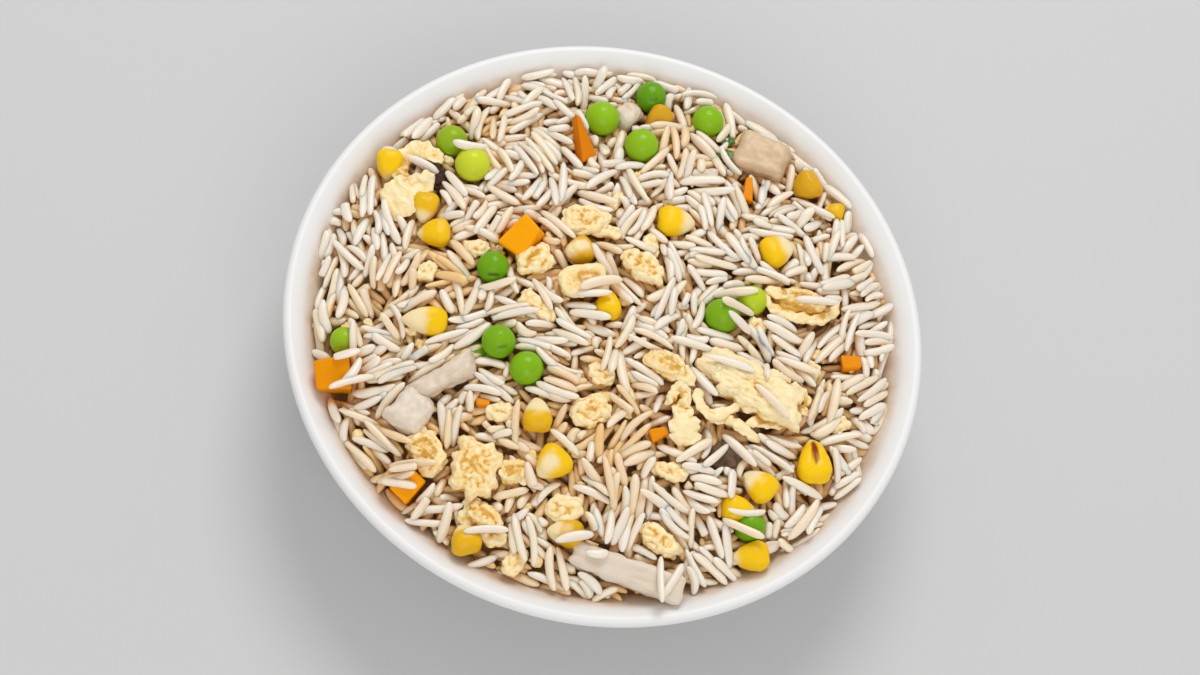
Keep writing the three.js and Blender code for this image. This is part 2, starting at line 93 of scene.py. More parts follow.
# How the plate's section joins up: the angles where the lip's bead starts and ends, the radius from which the
# wall is drawn up to the bead, and the gaps left on the underside for the curves into the foot and the lip.
LIP_START = math.radians(115)
LIP_END = math.radians(-40)
BLEND_RADIUS = 60
FOOT_GAP = 2
LIP_GAP = 3

# The food: a low dome, its middle HEAP_PEAK above the rim. It falls by HEAP_DROP to its edge at the wall, and
# goes on falling to HEAP_END of its radius.
HEAP_RADIUS = 70.8
HEAP_PEAK = 6.0
HEAP_DROP = 9.2
HEAP_POWER = 2.4
HEAP_END = 1.05


# ------------------------------------------------------------------ where the toppings lie
# Each topping sits where its solid is. A row adds what the solid can't say: its turn about Z, the tip of its
# far end and its roll about its length, in degrees, and what its surface looks like.

PEAS = {
    # name: (yellowness, darkness, wrinkles, crease turn, crease tilt, crease depth)
    "pea_1": (0.45, 0.25, 0.6, 30, 60, 0.0),
    "pea_2": (1.0, 0.0, 0.1, 0, 80, 0.0),
    "pea_3": (0.05, 0.35, 0.1, 16, 34, 0.9),
    "pea_4": (0.0, 0.45, 0.9, 20, 50, 0.5),
    "pea_5": (0.25, 0.0, 0.15, 10, 70, 0.0),
    "pea_6": (0.25, 0.05, 0.2, 40, 75, 0.0),
    "pea_7": (0.2, 0.05, 0.15, 80, 70, 0.0),
    "pea_8": (0.4, 0.1, 0.2, 0, 70, 0.0),
    "pea_9": (0.1, 0.2, 0.5, 30, 45, 0.6),
    "pea_10": (0.05, 0.5, 0.3, 0, 50, 0.0),
    "pea_11": (0.15, 0.1, 0.3, 60, 55, 0.3),
    "pea_12": (0.2, 0.3, 0.2, 60, 30, 0.0),
    "pea_13": (0.75, 0.0, 0.1, 0, 80, 0.0),
    "pea_14": (0.1, 0.35, 0.2, 0, 60, 0.0),
}

CORN = {
    # name: (turn, tip, roll, amber, share of the length that is pale, pale patch on the face, slit)
    "corn_1": (104, 10, 0, 0.1, 0.1, 0.0, 0.0),
    "corn_2": (100, 0, 0, 0.45, 0.25, 0.0, 0.0),
    "corn_3": (20, 6, 0, 0.25, 0.1, 0.0, 0.0),
    "corn_4": (14, 0, 12, 0.15, 0.5, 0.0, 0.0),
    "corn_5": (62, 16, 30, 0.8, 0.1, 0.0, 0.0),
    "corn_6": (40, 40, 0, 0.7, 0.1, 0.0, 0.0),
    "corn_7": (192, 4, 0, 0.05, 0.35, 0.0, 0.0),
    "corn_8": (222, 6, 0, 0.15, 0.45, 0.0, 0.0),
    "corn_9": (40, -30, 0, 0.6, 0.15, 1.0, 0.0),
    "corn_10": (284, 0, 10, 0.1, 0.1, 0.0, 0.0),
    "corn_11": (286, 8, 0, 0.5, 0.5, 0.0, 0.0),
    "corn_12": (60, 6, 0, 0.2, 0.15, 1.0, 0.0),
    "corn_13": (300, 10, 0, 0.55, 0.3, 0.0, 0.0),
    "corn_14": (12, -8, 0, 0.6, 0.3, 0.4, 0.0),
    "corn_15": (288, 6, 0, 0.05, 0.06, 0.0, 1.0),
    "corn_16": (336, 8, 0, 0.15, 0.4, 0.0, 0.0),
    "corn_17": (196, 0, 0, 0.1, 0.1, 0.0, 0.0),
    "corn_18": (20, 6, 0, 0.2, 0.15, 0.0, 0.0),
}

CARROTS = {
    # name: (turn, tip, roll, darkness, taper)
    "carrot_1": (64, 24, 0, 0.0, 0.0),
    "carrot_2": (124, 10, 20, 0.6, 0.75),
    "carrot_3": (20, 12, 14, 0.3, 0.0),
    "carrot_4": (64, 16, 10, 0.05, 0.0),
}

CHICKEN = {
    # name: (turn, tip, roll, pinkness, roundness of the edges)
    "chicken_1": (354, 4, 12, 0.85, 0.45),
    "chicken_2": (46, 8, 0, 0.15, 0.6),
    "chicken_3": (70, 0, 8, 0.0, 0.95),
    "chicken_4": (357, 0, 10, 0.05, 0.7),
}

MUSHROOMS = {
    # name: (turn, tip, roll, paleness)
    "mushroom_1": (112, 0, 0, 0.0),
    "mushroom_2": (12, 0, 0, 0.35),
}

EGGS = {
    # name: (turn, tip, roll, curd, lobes, gold, roughness), where curd is its size as a share of the solid,
    # or 0 where there are strips alone, and lobes is the size of its lobes in millimetres
    "egg_1": (54, 0, 6, 0.0, 4.0, 0.55, 0.7),
    "egg_2": (30, 0, 0, 0.9, 3.4, 0.6, 1.0),
    "egg_3": (16, 4, 0, 1.0, 3.0, 0.35, 1.0),
    "egg_4": (26, 4, 0, 1.0, 6.0, 0.1, 0.5),
    "egg_5": (340, 6, 0, 1.0, 3.0, 0.45, 1.0),
    "egg_6": (12, 4, 10, 0.8, 3.5, 0.6, 1.0),
    "egg_7": (343, 2, 0, 1.0, 2.4, -0.3, 1.2),
    "egg_8": (348, 0, 0, 0.0, 3.0, 0.25, 0.8),
    "egg_9": (356, 4, 0, 0.9, 3.5, 0.35, 1.0),
    "egg_10": (106, 4, 0, 0.0, 3.0, 0.3, 1.1),
    "egg_11": (30, 0, 0, 1.0, 3.0, 0.6, 1.0),
    "egg_12": (310, 4, 8, 0.9, 3.0, 0.8, 1.0),
    "egg_13": (100, 0, 0, 1.0, 1.9, 0.75, 1.0),
    "egg_14": (350, 0, 0, 0.8, 3.0, 0.4, 1.0),
    "egg_15": (20, 0, 0, 0.9, 3.0, 0.5, 1.0),
    "egg_16": (330, 6, 0, 1.0, 3.0, 0.45, 1.0),
}

# Strips of egg: rows of x, y, height above the heap's surface, width, and bank in degrees.
EGG_STRIPS = {
    "egg_1": [
        [(-50.4, 26.4, 1.4, 2.6, 0), (-53.4, 28.4, 2.0, 3.8, 0), (-57.4, 28.4, 1.9, 4.2, 10),
         (-59.8, 25.2, 1.6, 3.6, 14), (-59.2, 21.2, 1.4, 3.6, 10), (-56.8, 18.4, 1.6, 4.0, 0),
         (-53.4, 19.6, 2.2, 4.2, -10), (-51.2, 22.4, 2.4, 3.6, -20)],
        [(-51.4, 22.0, 1.8, 3.6, 0), (-53.6, 18.4, 2.0, 6.4, -6), (-56.2, 14.8, 1.8, 9.0, -8),
         (-58.4, 12.0, 1.3, 8.6, -6), (-60.0, 10.4, 0.6, 5.0, 0)],
    ],
    "egg_4": [[(-13, 0, 1.6, 4.0, 0), (-8, 3, 2.6, 6.0, 10), (-2, 5, 2.0, 4.0, 0)]],
    "egg_6": [
        [(34.5, 18.5, 1.8, 2.6, 0), (38, 18, 2.4, 3.0, 0), (42, 19.5, 2.0, 2.6, 0)],
        [(34.5, 17.5, 1.6, 2.2, 0), (36.5, 14.5, 1.6, 2.2, 0), (41, 13.6, 2.0, 2.4, 0),
         (47, 14.6, 2.2, 2.6, 0), (51.5, 18.5, 1.8, 2.4, 0), (52.5, 23.5, 1.0, 2.0, 0)],
    ],
    "egg_7": [
        [(26.5, -8.2, 1.8, 2.6, 0), (31.3, -5.0, 2.6, 3.0, 10), (37.3, -6, 3.0, 3.2, 10),
         (42.6, -4.2, 2.8, 3.0, 0), (46.5, -3.6, 1.8, 2.4, 0)],
        [(30.5, -12.6, 1.6, 2.4, 0), (33.5, -11, 2.8, 2.8, 0), (38, -9.2, 3.2, 3.2, 0),
         (43.5, -7.4, 3.0, 3.2, 0), (49, -5.6, 2.4, 3.0, 0), (52.4, -6.6, 1.4, 2.4, 0)],
        [(36.5, -14.4, 2.0, 3.4, 0), (42.5, -11.6, 3.0, 3.8, 0), (48.5, -10.0, 2.6, 3.6, 0),
         (52.4, -8.8, 1.4, 2.6, 0)],
        [(38.5, -17.4, 1.2, 3.0, 0), (43, -15.6, 2.2, 3.6, 0), (47, -14.4, 2.2, 3.0, 0),
         (50.0, -13, 1.4, 2.4, 0)],
    ],
    "egg_8": [
        [(26.2, -13.6, 2.2, 2.4, 20), (25.8, -16, 2.2, 2.4, 20), (27.8, -18.3, 2.4, 2.6, 10),
         (30.4, -19, 2.4, 2.6, 0), (33.8, -16.8, 2.4, 2.4, -10), (36.4, -13.6, 2.0, 2.2, -20)],
        [(29.6, -20, 1.4, 2.2, 0), (34.2, -18.8, 1.9, 2.4, 0), (38.4, -19.2, 1.6, 2.4, 0),
         (43.2, -20.4, 1.0, 2.0, 0)],
    ],
    "egg_9": [[(11.5, -9.5, 1.2, 3.0, 0), (16, -9, 2.2, 3.6, 0), (21, -11.4, 2.2, 3.4, 0),
               (24.5, -13, 1.6, 2.6, 0)]],
    "egg_10": [
        [(19.4, -20.2, 1.2, 1.8, 0), (20.2, -17, 1.9, 2.0, 0), (21.4, -14.4, 2.2, 2.2, 0),
         (23.2, -16.8, 2.2, 2.4, 0), (23.2, -20, 2.2, 3.6, 0)],
        [(23, -18.6, 1.6, 3.6, 0), (24, -22, 2.2, 4.8, 0), (25.4, -25.4, 2.2, 6.0, 0),
         (26.4, -28.2, 1.2, 6.0, 0)],
    ],
    "egg_14": [[(-17, -55.6, 1.4, 3.6, 0), (-17, -59, 1.8, 4.0, 0), (-17.6, -62.4, 1.0, 3.4, 0)]],
    "egg_15": [[(-13.6, -48.4, 1.4, 2.2, 0), (-10, -48.6, 1.8, 2.4, 0), (-6.4, -48, 1.2, 2.0, 0)]],
}

SCRAPS = [
    # kind, x, y, length, width, height, turn
    ("corn", 46, 49.5, 5.4, 5.0, 4.0, 0),
    ("carrot", 23.5, 45.5, 6.6, 2.6, 2.4, 100),
    ("carrot", 59.5, 8.5, 4.6, 4.0, 3.4, 20),
    ("carrot", 19.5, -27.5, 4.0, 3.0, 3.0, 40),
    ("carrot", -22.0, -33.0, 3.0, 2.2, 2.0, 10),
    ("chicken", -10.8, 56.5, 7.0, 5.8, 4.6, 60),
    ("chicken", 12.5, 45.0, 6.4, 4.4, 3.2, 20),
    ("egg", -45.0, -3.6, 6.0, 4.4, 3.0, 80),
    ("egg", 2.5, -17.5, 6.4, 5.6, 3.0, 10),
    ("egg", 3.6, -51.6, 10.0, 7.0, 3.4, 20),
    ("egg", 25.0, -35.0, 8.8, 4.4, 3.0, 10),
    ("egg", -17.5, -34.0, 8.0, 4.6, 3.0, 15),
    ("egg", -17.0, -5.5, 10.0, 4.6, 3.0, 340),
    ("egg", -3.5, -66.0, 7.6, 5.0, 3.0, 80),
    ("egg", -11.0, -62.0, 8.4, 5.6, 3.0, 330),
    ("egg", 50.5, 3.0, 5.0, 4.4, 2.6, 0),
    ("egg", -31.5, -44.0, 4.0, 3.0, 2.2, 50),
    ("egg", -6.8, 29.9, 6.6, 2.8, 2.2, 69),
    ("egg", -35.2, 5.8, 6.0, 4.4, 2.4, 20),
    ("egg", 4.3, 20.2, 7.4, 4.0, 2.4, 110),
    ("egg", -5.8, 20.0, 8.0, 3.6, 2.2, 10),
    ("egg", 34.8, 8.4, 5.0, 4.0, 2.4, 0),
    ("egg", 61.0, -8.0, 5.6, 4.0, 2.6, 60),
    ("chicken", 49.0, -46.0, 13.0, 2.6, 1.6, 35),
    ("greens", 16.5, 54.5, 6.0, 3.4, 1.6, 60),
    ("greens", 15.0, 58.5, 4.4, 3.0, 1.4, 20),
    ("greens", 63.0, 3.5, 3.4, 2.8, 1.4, 0),
]


# ------------------------------------------------------------------ properties

def tint(name, text, rgb):
    return bpy.props.FloatVectorProperty(
        name=name, description=text, default=rgb, size=3, min=0.0, max=1.0, subtype="COLOR"
    )


def length(name, text, millimetres):
    return bpy.props.FloatProperty(
        name=name, description=text, default=millimetres * MM, min=0.0, unit="LENGTH", subtype="DISTANCE"
    )


class PlateSettings(bpy.types.PropertyGroup):
    glaze: tint("Glaze", "Colour of the glaze", (0.83, 0.82, 0.81))
    # The sauce colour on the wall is partly a film of oil and soy sauce and partly painted contact shade.
    sauce: tint("Sauce", "Film of oil and soy sauce on the wall beside the food", (0.56, 0.38, 0.22))
    lip: length("Lip", "Radius of the rounded lip", 1.5)
    film_reach: length("Sauce reach", "How far the film climbs the wall above the food", 2.0)


class RiceSettings(bpy.types.PropertyGroup):
    grain_length: length("Grain length", "Mean length of a cooked grain", 9.8)
    grain_width: length("Grain width", "Mean width of a cooked grain", 2.15)
    depth: length("Depth", "Depth of loose grains over the core", 5.0)
    seed: bpy.props.IntProperty(name="Seed", description="Start of the random draw", default=11)
    pale: tint("Pale grain", "Colour of a grain on top", (0.88, 0.805, 0.70))
    # Painted shade: the soaked colour is partly sauce and partly shade deep in the heap and between grains.
    soaked_and_shaded: tint("Soaked grain", "Colour of a grain deep in the heap", (0.85, 0.56, 0.24))
    # Painted shade: the core's dark brown stands in for the shade between the deepest grains.
    core: tint("Core", "Colour between the deepest grains", (0.28, 0.14, 0.045))


class ToppingSettings(bpy.types.PropertyGroup):
    pea: tint("Pea", "Colour of a fresh green pea", (0.155, 0.44, 0.001))
    pea_yellow: tint("Ripe pea", "Colour of a yellow-green pea", (0.62, 0.68, 0.03))
    corn: tint("Sweetcorn", "Colour of a kernel's crown", (0.96, 0.60, 0.004))
    corn_pale: tint("Kernel tip", "Colour of a kernel's paler end", (0.90, 0.74, 0.42))
    carrot: tint("Carrot", "Colour of cut carrot", (1.0, 0.38, 0.001))
    egg: tint("Egg", "Colour of the egg's ridges", (1.0, 0.80, 0.46))
    # The fold colour is partly the egg's own gold and partly painted shade deep in its folds.
    egg_gold: tint("Egg folds", "Colour deep in the egg's folds", (0.72, 0.38, 0.045))
    chicken: tint("Chicken", "Colour of cooked chicken", (0.75, 0.65, 0.53))
    mushroom: tint("Mushroom", "Colour of cooked mushroom", (0.055, 0.024, 0.014))


class StageSettings(bpy.types.PropertyGroup):
    floor: tint("Floor", "Colour of the floor", (0.60, 0.60, 0.60))
    elevation: bpy.props.FloatProperty(
        name="Elevation", description="Camera above the horizon", default=math.radians(62.5), subtype="ANGLE"
    )
    roll: bpy.props.FloatProperty(
        name="Roll", description="Turn of the camera about its own axis", default=math.radians(17.6),
        subtype="ANGLE",
    )
    distance: length("Distance", "From the rim's centre to the camera", 684.4)
    key: bpy.props.FloatProperty(
        name="Key light", description="Power of the large soft light behind the plate", default=4.35,
        unit="POWER",
    )
    fill: bpy.props.FloatProperty(
        name="Fill light", description="Power of the soft light in front", default=2.85, unit="POWER"
    )
    sky: bpy.props.FloatProperty(name="Sky", description="Strength of the even light", default=0.6)


SETTINGS = {
    "plate": PlateSettings, "rice": RiceSettings, "toppings": ToppingSettings, "stage": StageSettings,
}


def settings(name):
    return getattr(bpy.context.scene, "fried_rice_" + name)


# ------------------------------------------------------------------ shader expressions

class Wire:
    """A number that varies over a surface, for use in plain sums such as 1 - mask * 0.5."""

    def __init__(self, finish, socket):
        self.finish = finish
        self.socket = socket

    def math(self, operation, *values, clamp=False):
        return self.finish.node(
            "ShaderNodeMath", {"operation": operation, "use_clamp": clamp}, dict(enumerate(values))
        )

    def __add__(self, other):
        return self.math("ADD", self, other)

    def __sub__(self, other):
        return self.math("SUBTRACT", self, other)

    def __rsub__(self, other):
        return self.math("SUBTRACT", other, self)

    def __mul__(self, other):
        return self.math("MULTIPLY", self, other)

    __radd__ = __add__
    __rmul__ = __mul__

    def clamped(self):
        return self.math("ADD", self, 0.0, clamp=True)

    def ramp(self, low, high):
        """0 below low, 1 above high, and smooth between."""
        return self.finish.node(
            "ShaderNodeMapRange",
            {"interpolation_type": "SMOOTHSTEP"},
            {"Value": self, "From Min": low, "From Max": high},
        )


class Finish:
    """A material around one Principled shader."""

    NOISE_ROUGHNESS = 0.55
    # Sockets of a Mix node that mixes colours.
    MIX_SHARE, MIX_FIRST, MIX_SECOND, MIX_RESULT = 0, 6, 7, 2

    def __init__(self, name, **constants):
        self.material = bpy.data.materials.new(name)
        self.material.use_nodes = True
        self.tree = self.material.node_tree
        self.shader = self.tree.nodes["Principled BSDF"]
        for socket, value in constants.items():
            self.shader.inputs[socket.replace("_", " ")].default_value = value

    def node(self, kind, options=None, sockets=None, out=0):
        made = self.tree.nodes.new(kind)
        for option, value in (options or {}).items():
            setattr(made, option, value)
        for socket, value in (sockets or {}).items():
            if isinstance(value, Wire):
                self.tree.links.new(value.socket, made.inputs[socket])
            else:
                made.inputs[socket].default_value = value
        return Wire(self, made.outputs[out])

    def attribute(self, name):
        return self.node("ShaderNodeAttribute", {"attribute_name": name}, out="Fac")

    def speckle(self, millimetres, detail=3.0, stretch=(1.0, 1.0, 1.0)):
        """Noise from 0 to 1 whose lumps are about this large."""
        place = self.node("ShaderNodeTexCoord", out="Object")
        spot = self.node("ShaderNodeVectorMath", {"operation": "MULTIPLY"}, {0: place, 1: stretch})
        scale = 1.0 / (millimetres * MM)
        sockets = {"Vector": spot, "Scale": scale, "Detail": detail, "Roughness": self.NOISE_ROUGHNESS}
        return self.node("ShaderNodeTexNoise", None, sockets)

    def mix(self, share, first, second):
        """A share of the second colour over the first."""
        sockets = {
            self.MIX_FIRST: as_colour(first), self.MIX_SECOND: as_colour(second), self.MIX_SHARE: share,
        }
        options = {"data_type": "RGBA", "blend_type": "MIX", "clamp_factor": True}
        return self.node("ShaderNodeMix", options, sockets, out=self.MIX_RESULT)

    def bump(self, height, millimetres, strength):
        """A normal for relief that is this high where the height is 1."""
        sockets = {"Height": height, "Distance": millimetres * MM, "Strength": strength}
        return self.node("ShaderNodeBump", None, sockets)

    def feed(self, **wires):
        """Links wires to the shader's sockets and gives the material."""
        for socket, wire in wires.items():
            self.tree.links.new(wire.socket, self.shader.inputs[socket.replace("_", " ")])
        return self.material


def as_colour(value):
    return value if isinstance(value, Wire) else (*value, 1.0)


# ------------------------------------------------------------------ finishes

# Colours beside those in the settings, and how much lighter and darker the core and the floor vary.
WARM_GRAIN = (0.90, 0.73, 0.51)
COOL_GRAIN = (0.80, 0.74, 0.66)
# Painted shade: dark brown for the pits between grains.
GAP_SHADE_BROWN = (0.66, 0.36, 0.13)
# Painted shade: tan in the grooves between a grain's ribs.
GROOVE_SHADE_TAN = (0.78, 0.57, 0.36)
PEA_BLOOM = (0.34, 0.56, 0.02)
OLD_PEA = (0.055, 0.13, 0.003)
# Painted shade: near black in a pea's crease.
PEA_CREASE_SHADE = (0.02, 0.05, 0.004)
AMBER_KERNEL = (0.62, 0.30, 0.015)
# Painted shade: dark red-brown in a kernel's slit.
KERNEL_SLIT_SHADE = (0.28, 0.04, 0.003)
CARROT_FIBRE = (1.0, 0.44, 0.004)
DARK_CARROT = (0.50, 0.075, 0.003)
EGG_YOLK = (0.97, 0.68, 0.28)
BROWNED_CHICKEN = (0.66, 0.46, 0.26)
CHICKEN_STRAND = (0.64, 0.46, 0.29)
PALE_MUSHROOM = (0.30, 0.19, 0.105)
GREEN_LEAF = (0.025, 0.10, 0.008)
YOUNG_LEAF = (0.16, 0.34, 0.03)
CORE_LIGHT = 2.4
FLOOR_SHADE = 0.97


def glaze_finish():
    """White glaze, with a brown film beside the food: partly sauce, partly painted contact shade."""
    plate = settings("plate")
    finish = Finish("white_glaze", Coat_Weight=0.06, Coat_Roughness=0.25, IOR=1.4)
    # Painted contact shade: the brown film beside the food is partly sauce and partly shade.
    film_and_contact_shade = finish.attribute("film_and_contact_shade")
    streak = finish.speckle(5.0, detail=4.0)
    share = (film_and_contact_shade * (0.2 + streak * 1.2)).clamped()
    colour = finish.mix(share, plate.glaze, plate.sauce)
    wave = finish.speckle(24.0, detail=1.0)
    relief = finish.bump(wave, 0.25, strength=0.25)
    return finish.feed(Base_Color=colour, Normal=relief, Roughness=0.38 + streak * 0.08)


def rice_finish():
    """Cooked grains with their own tones, sauce stains, and painted shade deep down and between grains."""
    rice = settings("rice")
    finish = Finish(
        "cooked_rice", Subsurface_Weight=0.75, Subsurface_Scale=0.0013,
        Subsurface_Radius=(1.0, 0.88, 0.76), Specular_IOR_Level=0.4, Coat_Weight=0.28,
        Coat_Roughness=0.2,
    )
    depth = finish.attribute("depth")
    own = finish.attribute("own")
    cloud = finish.speckle(2.2)
    pit_shade = finish.attribute("pit_shade")
    streak = finish.attribute("streak")
    sauce = finish.attribute("sauce")
    # Grains are browner in the pits between them and deep in the heap, partly sauce and partly painted shade.
    soaked_and_shaded = (pit_shade * 1.5 + depth * 2.0 + sauce * 1.7 + (cloud - 0.5) * 0.5 - 0.04).clamped()
    colour = finish.mix(own.ramp(0.6, 1.0) * 0.6, rice.pale, WARM_GRAIN)
    colour = finish.mix(own.ramp(0.4, 0.0) * 0.6, colour, COOL_GRAIN)
    colour = finish.mix(soaked_and_shaded, colour, rice.soaked_and_shaded)
    # Painted shade: dark brown in the pits between grains.
    colour = finish.mix((pit_shade * 1.2 - 0.12).clamped() * 0.75, colour, GAP_SHADE_BROWN)
    # Painted shade: tan in the grooves between the grain's ribs.
    colour = finish.mix((1 - streak) * 0.2, colour, GROOVE_SHADE_TAN)
    relief = finish.bump(finish.speckle(0.5, detail=2.0), 0.06, strength=0.6)
    return finish.feed(Base_Color=colour, Normal=relief, Roughness=0.24 + cloud * 0.24)


def core_finish():
    """Painted shade: a dark, mottled brown that stands in for the shade in the gaps between the deepest
    grains.
    """
    rice = settings("rice")
    finish = Finish("rice_core_shade", Roughness=0.55)
    cloud = finish.speckle(3.0, detail=4.0)
    colour = finish.mix(cloud.ramp(0.3, 0.75), rice.core, tuple(c * CORE_LIGHT for c in rice.core))
    return finish.feed(Base_Color=colour, Normal=finish.bump(cloud, 0.8, strength=0.6))


def pea_finish():
    """A shiny green skin that yellows as the pea ripens, with painted shade in its crease."""
    toppings = settings("toppings")
    finish = Finish(
        "pea_skin", Subsurface_Weight=0.18, Subsurface_Scale=0.0016,
        Subsurface_Radius=(0.6, 1.0, 0.1), Coat_Weight=0.3, Coat_Roughness=0.12, IOR=1.42,
        Specular_IOR_Level=0.05,
    )
    ripe = finish.attribute("ripe")
    dark = finish.attribute("dark")
    crease_shade = finish.attribute("crease_shade")
    cloud = finish.speckle(3.4)
    colour = finish.mix(ripe, toppings.pea, toppings.pea_yellow)
    colour = finish.mix((cloud - 0.35) * 0.7, colour, PEA_BLOOM)
    colour = finish.mix(dark * 0.8, colour, OLD_PEA)
    colour = finish.mix(crease_shade, colour, PEA_CREASE_SHADE)
    fine = finish.speckle(0.5, detail=2.0)
    relief = finish.bump(fine, 0.03, strength=0.4)
    return finish.feed(Base_Color=colour, Normal=relief, Roughness=0.24 + cloud * 0.16)


def corn_finish():
    """A yellow skin, paler towards the kernel's tip, some of it amber."""
    toppings = settings("toppings")
    finish = Finish(
        "kernel_skin", Subsurface_Weight=0.2, Subsurface_Scale=0.0014,
        Subsurface_Radius=(1.0, 0.55, 0.12), Coat_Weight=0.2, Coat_Roughness=0.12,
        Specular_IOR_Level=0.05,
    )
    amber = finish.attribute("amber")
    pale = finish.attribute("pale")
    slit_shade = finish.attribute("slit_shade")
    cloud = finish.speckle(2.4)
    colour = finish.mix(amber, toppings.corn, AMBER_KERNEL)
    edge = (pale + (cloud - 0.5) * 0.6).ramp(0.05, 0.95)
    colour = finish.mix(edge, colour, toppings.corn_pale)
    # Painted shade: dark red-brown in the slit.
    colour = finish.mix(slit_shade, colour, KERNEL_SLIT_SHADE)
    relief = finish.bump(finish.speckle(0.9, detail=2.0), 0.05, strength=0.4)
    return finish.feed(Base_Color=colour, Normal=relief, Roughness=0.22 + cloud * 0.18)


def carrot_finish():
    """Cut carrot with faint fibres."""
    toppings = settings("toppings")
    finish = Finish(
        "cut_carrot", Subsurface_Weight=0.12, Subsurface_Scale=0.0012,
        Subsurface_Radius=(1.0, 0.35, 0.08), Coat_Weight=0.05, Coat_Roughness=0.3,
        Specular_IOR_Level=0.05,
    )
    dark = finish.attribute("dark")
    fibre = finish.speckle(0.9, stretch=(0.25, 1.0, 1.0))
    colour = finish.mix(fibre * 0.5, toppings.carrot, CARROT_FIBRE)
    colour = finish.mix(dark, colour, DARK_CARROT)
    relief = finish.bump(fibre, 0.12, strength=0.5)
    return finish.feed(Base_Color=colour, Normal=relief, Roughness=0.3 + fibre * 0.2)


def egg_finish():
    """Pale ridges and thin veins, golden in places, and more golden deep in its folds as painted shade."""
    toppings = settings("toppings")
    finish = Finish(
        "scrambled_egg", Subsurface_Weight=0.25, Subsurface_Scale=0.001,
        Subsurface_Radius=(1.0, 0.85, 0.6), Coat_Weight=0.1, Coat_Roughness=0.3,
    )
    # Painted shade: more golden deep in the folds.
    fold_shade = finish.attribute("fold_shade")
    gold = finish.attribute("gold")
    cloud = finish.speckle(3.4)
    crinkle = finish.speckle(2.8)
    vein = crinkle.ramp(0.41, 0.5) - crinkle.ramp(0.5, 0.59)
    share = (fold_shade * 1.3 + gold * 0.5 + vein * 0.25 - 0.26 + (cloud - 0.5) * 0.8).clamped()
    colour = finish.mix(share.ramp(0.0, 0.5), toppings.egg, EGG_YOLK)
    colour = finish.mix(share.ramp(0.4, 1.0), colour, toppings.egg_gold)
    relief = finish.bump(finish.speckle(0.8) * 0.5 - vein, 0.12, strength=0.6)
    return finish.feed(Base_Color=colour, Normal=relief, Roughness=0.36 + cloud * 0.2)


def chicken_finish():
    """Pale meat with darker strands, some of it browned."""
    toppings = settings("toppings")
    finish = Finish(
        "cooked_chicken", Subsurface_Weight=0.3, Subsurface_Scale=0.0014,
        Subsurface_Radius=(1.0, 0.6, 0.4), Coat_Weight=0.15, Coat_Roughness=0.25,
    )
    pink = finish.attribute("pink")
    strand = finish.attribute("strand")
    cloud = finish.speckle(3.2)
    colour = finish.mix(pink, toppings.chicken, BROWNED_CHICKEN)
    colour = finish.mix((strand * 0.35 + (cloud - 0.5) * 0.5).clamped(), colour, CHICKEN_STRAND)
    fibre = finish.speckle(0.5)
    relief = finish.bump(fibre, 0.12, strength=0.6)
    return finish.feed(Base_Color=colour, Normal=relief, Roughness=0.38 + cloud * 0.2)


def mushroom_finish():
    """Dark, wet and mottled."""
    toppings = settings("toppings")
    finish = Finish("cooked_mushroom", Specular_IOR_Level=0.15, Coat_Weight=0.05, Coat_Roughness=0.3)
    pale = finish.attribute("pale")
    cloud = finish.speckle(2.0)
    colour = finish.mix((pale + (cloud - 0.5) * 0.8).clamped(), toppings.mushroom, PALE_MUSHROOM)
    relief = finish.bump(cloud, 0.3, strength=0.5)
    return finish.feed(Base_Color=colour, Normal=relief, Roughness=0.42 + cloud * 0.25)


def greens_finish():
    """Spring onion, from dark green to young green."""
    finish = Finish(
        "spring_onion", Roughness=0.35, Subsurface_Weight=0.1, Subsurface_Scale=0.001, Coat_Weight=0.3
    )
    cloud = finish.speckle(1.6, stretch=(1.0, 0.3, 1.0))
    colour = finish.mix(cloud.ramp(0.35, 0.7), GREEN_LEAF, YOUNG_LEAF)
    return finish.feed(Base_Color=colour, Normal=finish.bump(cloud, 0.1, strength=0.5))


def floor_finish():
    """A plain matt floor."""
    finish = Finish("pale_floor", Roughness=0.7)
    cloud = finish.speckle(160.0, detail=2.0)
    floor = settings("stage").floor
    colour = finish.mix(cloud, floor, tuple(c * FLOOR_SHADE for c in floor))
    return finish.feed(Base_Color=colour)


FINISHES = {
    "plate": glaze_finish, "rice": rice_finish, "core": core_finish, "pea": pea_finish, "corn": corn_finish,
    "carrot": carrot_finish, "egg": egg_finish, "chicken": chicken_finish, "mushroom": mushroom_finish,
    "greens": greens_finish,
}


def finish_of(kind):
    """The material of a kind, which is made when it is first asked for."""
    name = "finish_" + kind
    if name not in bpy.data.materials:
        FINISHES[kind]().name = name
    return bpy.data.materials[name]


# ------------------------------------------------------------------ meshes from arrays

class Body:
    """Vertices in millimetres, faces of four corners, and one value per vertex for each named attribute.

    The fourth corner of a triangle is -1.
    """

    def __init__(self, points, quads, **values):
        self.points = np.asarray(points, float)
        self.quads = np.asarray(quads, int)
        self.values = {k: np.broadcast_to(v, len(self.points)).astype(float) for k, v in values.items()}

    def moved(self, matrix):
        """The same body at another place."""
        placed = self.points @ np.array(matrix.to_3x3()).T + np.array(matrix.translation)
        return Body(placed, self.quads, **self.values)


def joined(bodies):
    """One body of several that have the same attributes."""
    start = np.cumsum([0] + [len(b.points) for b in bodies[:-1]])
    quads = [np.where(b.quads < 0, -1, b.quads + s) for b, s in zip(bodies, start)]
    values = {k: np.concatenate([b.values[k] for b in bodies]) for k in bodies[0].values}
    return Body(np.concatenate([b.points for b in bodies]), np.concatenate(quads), **values)


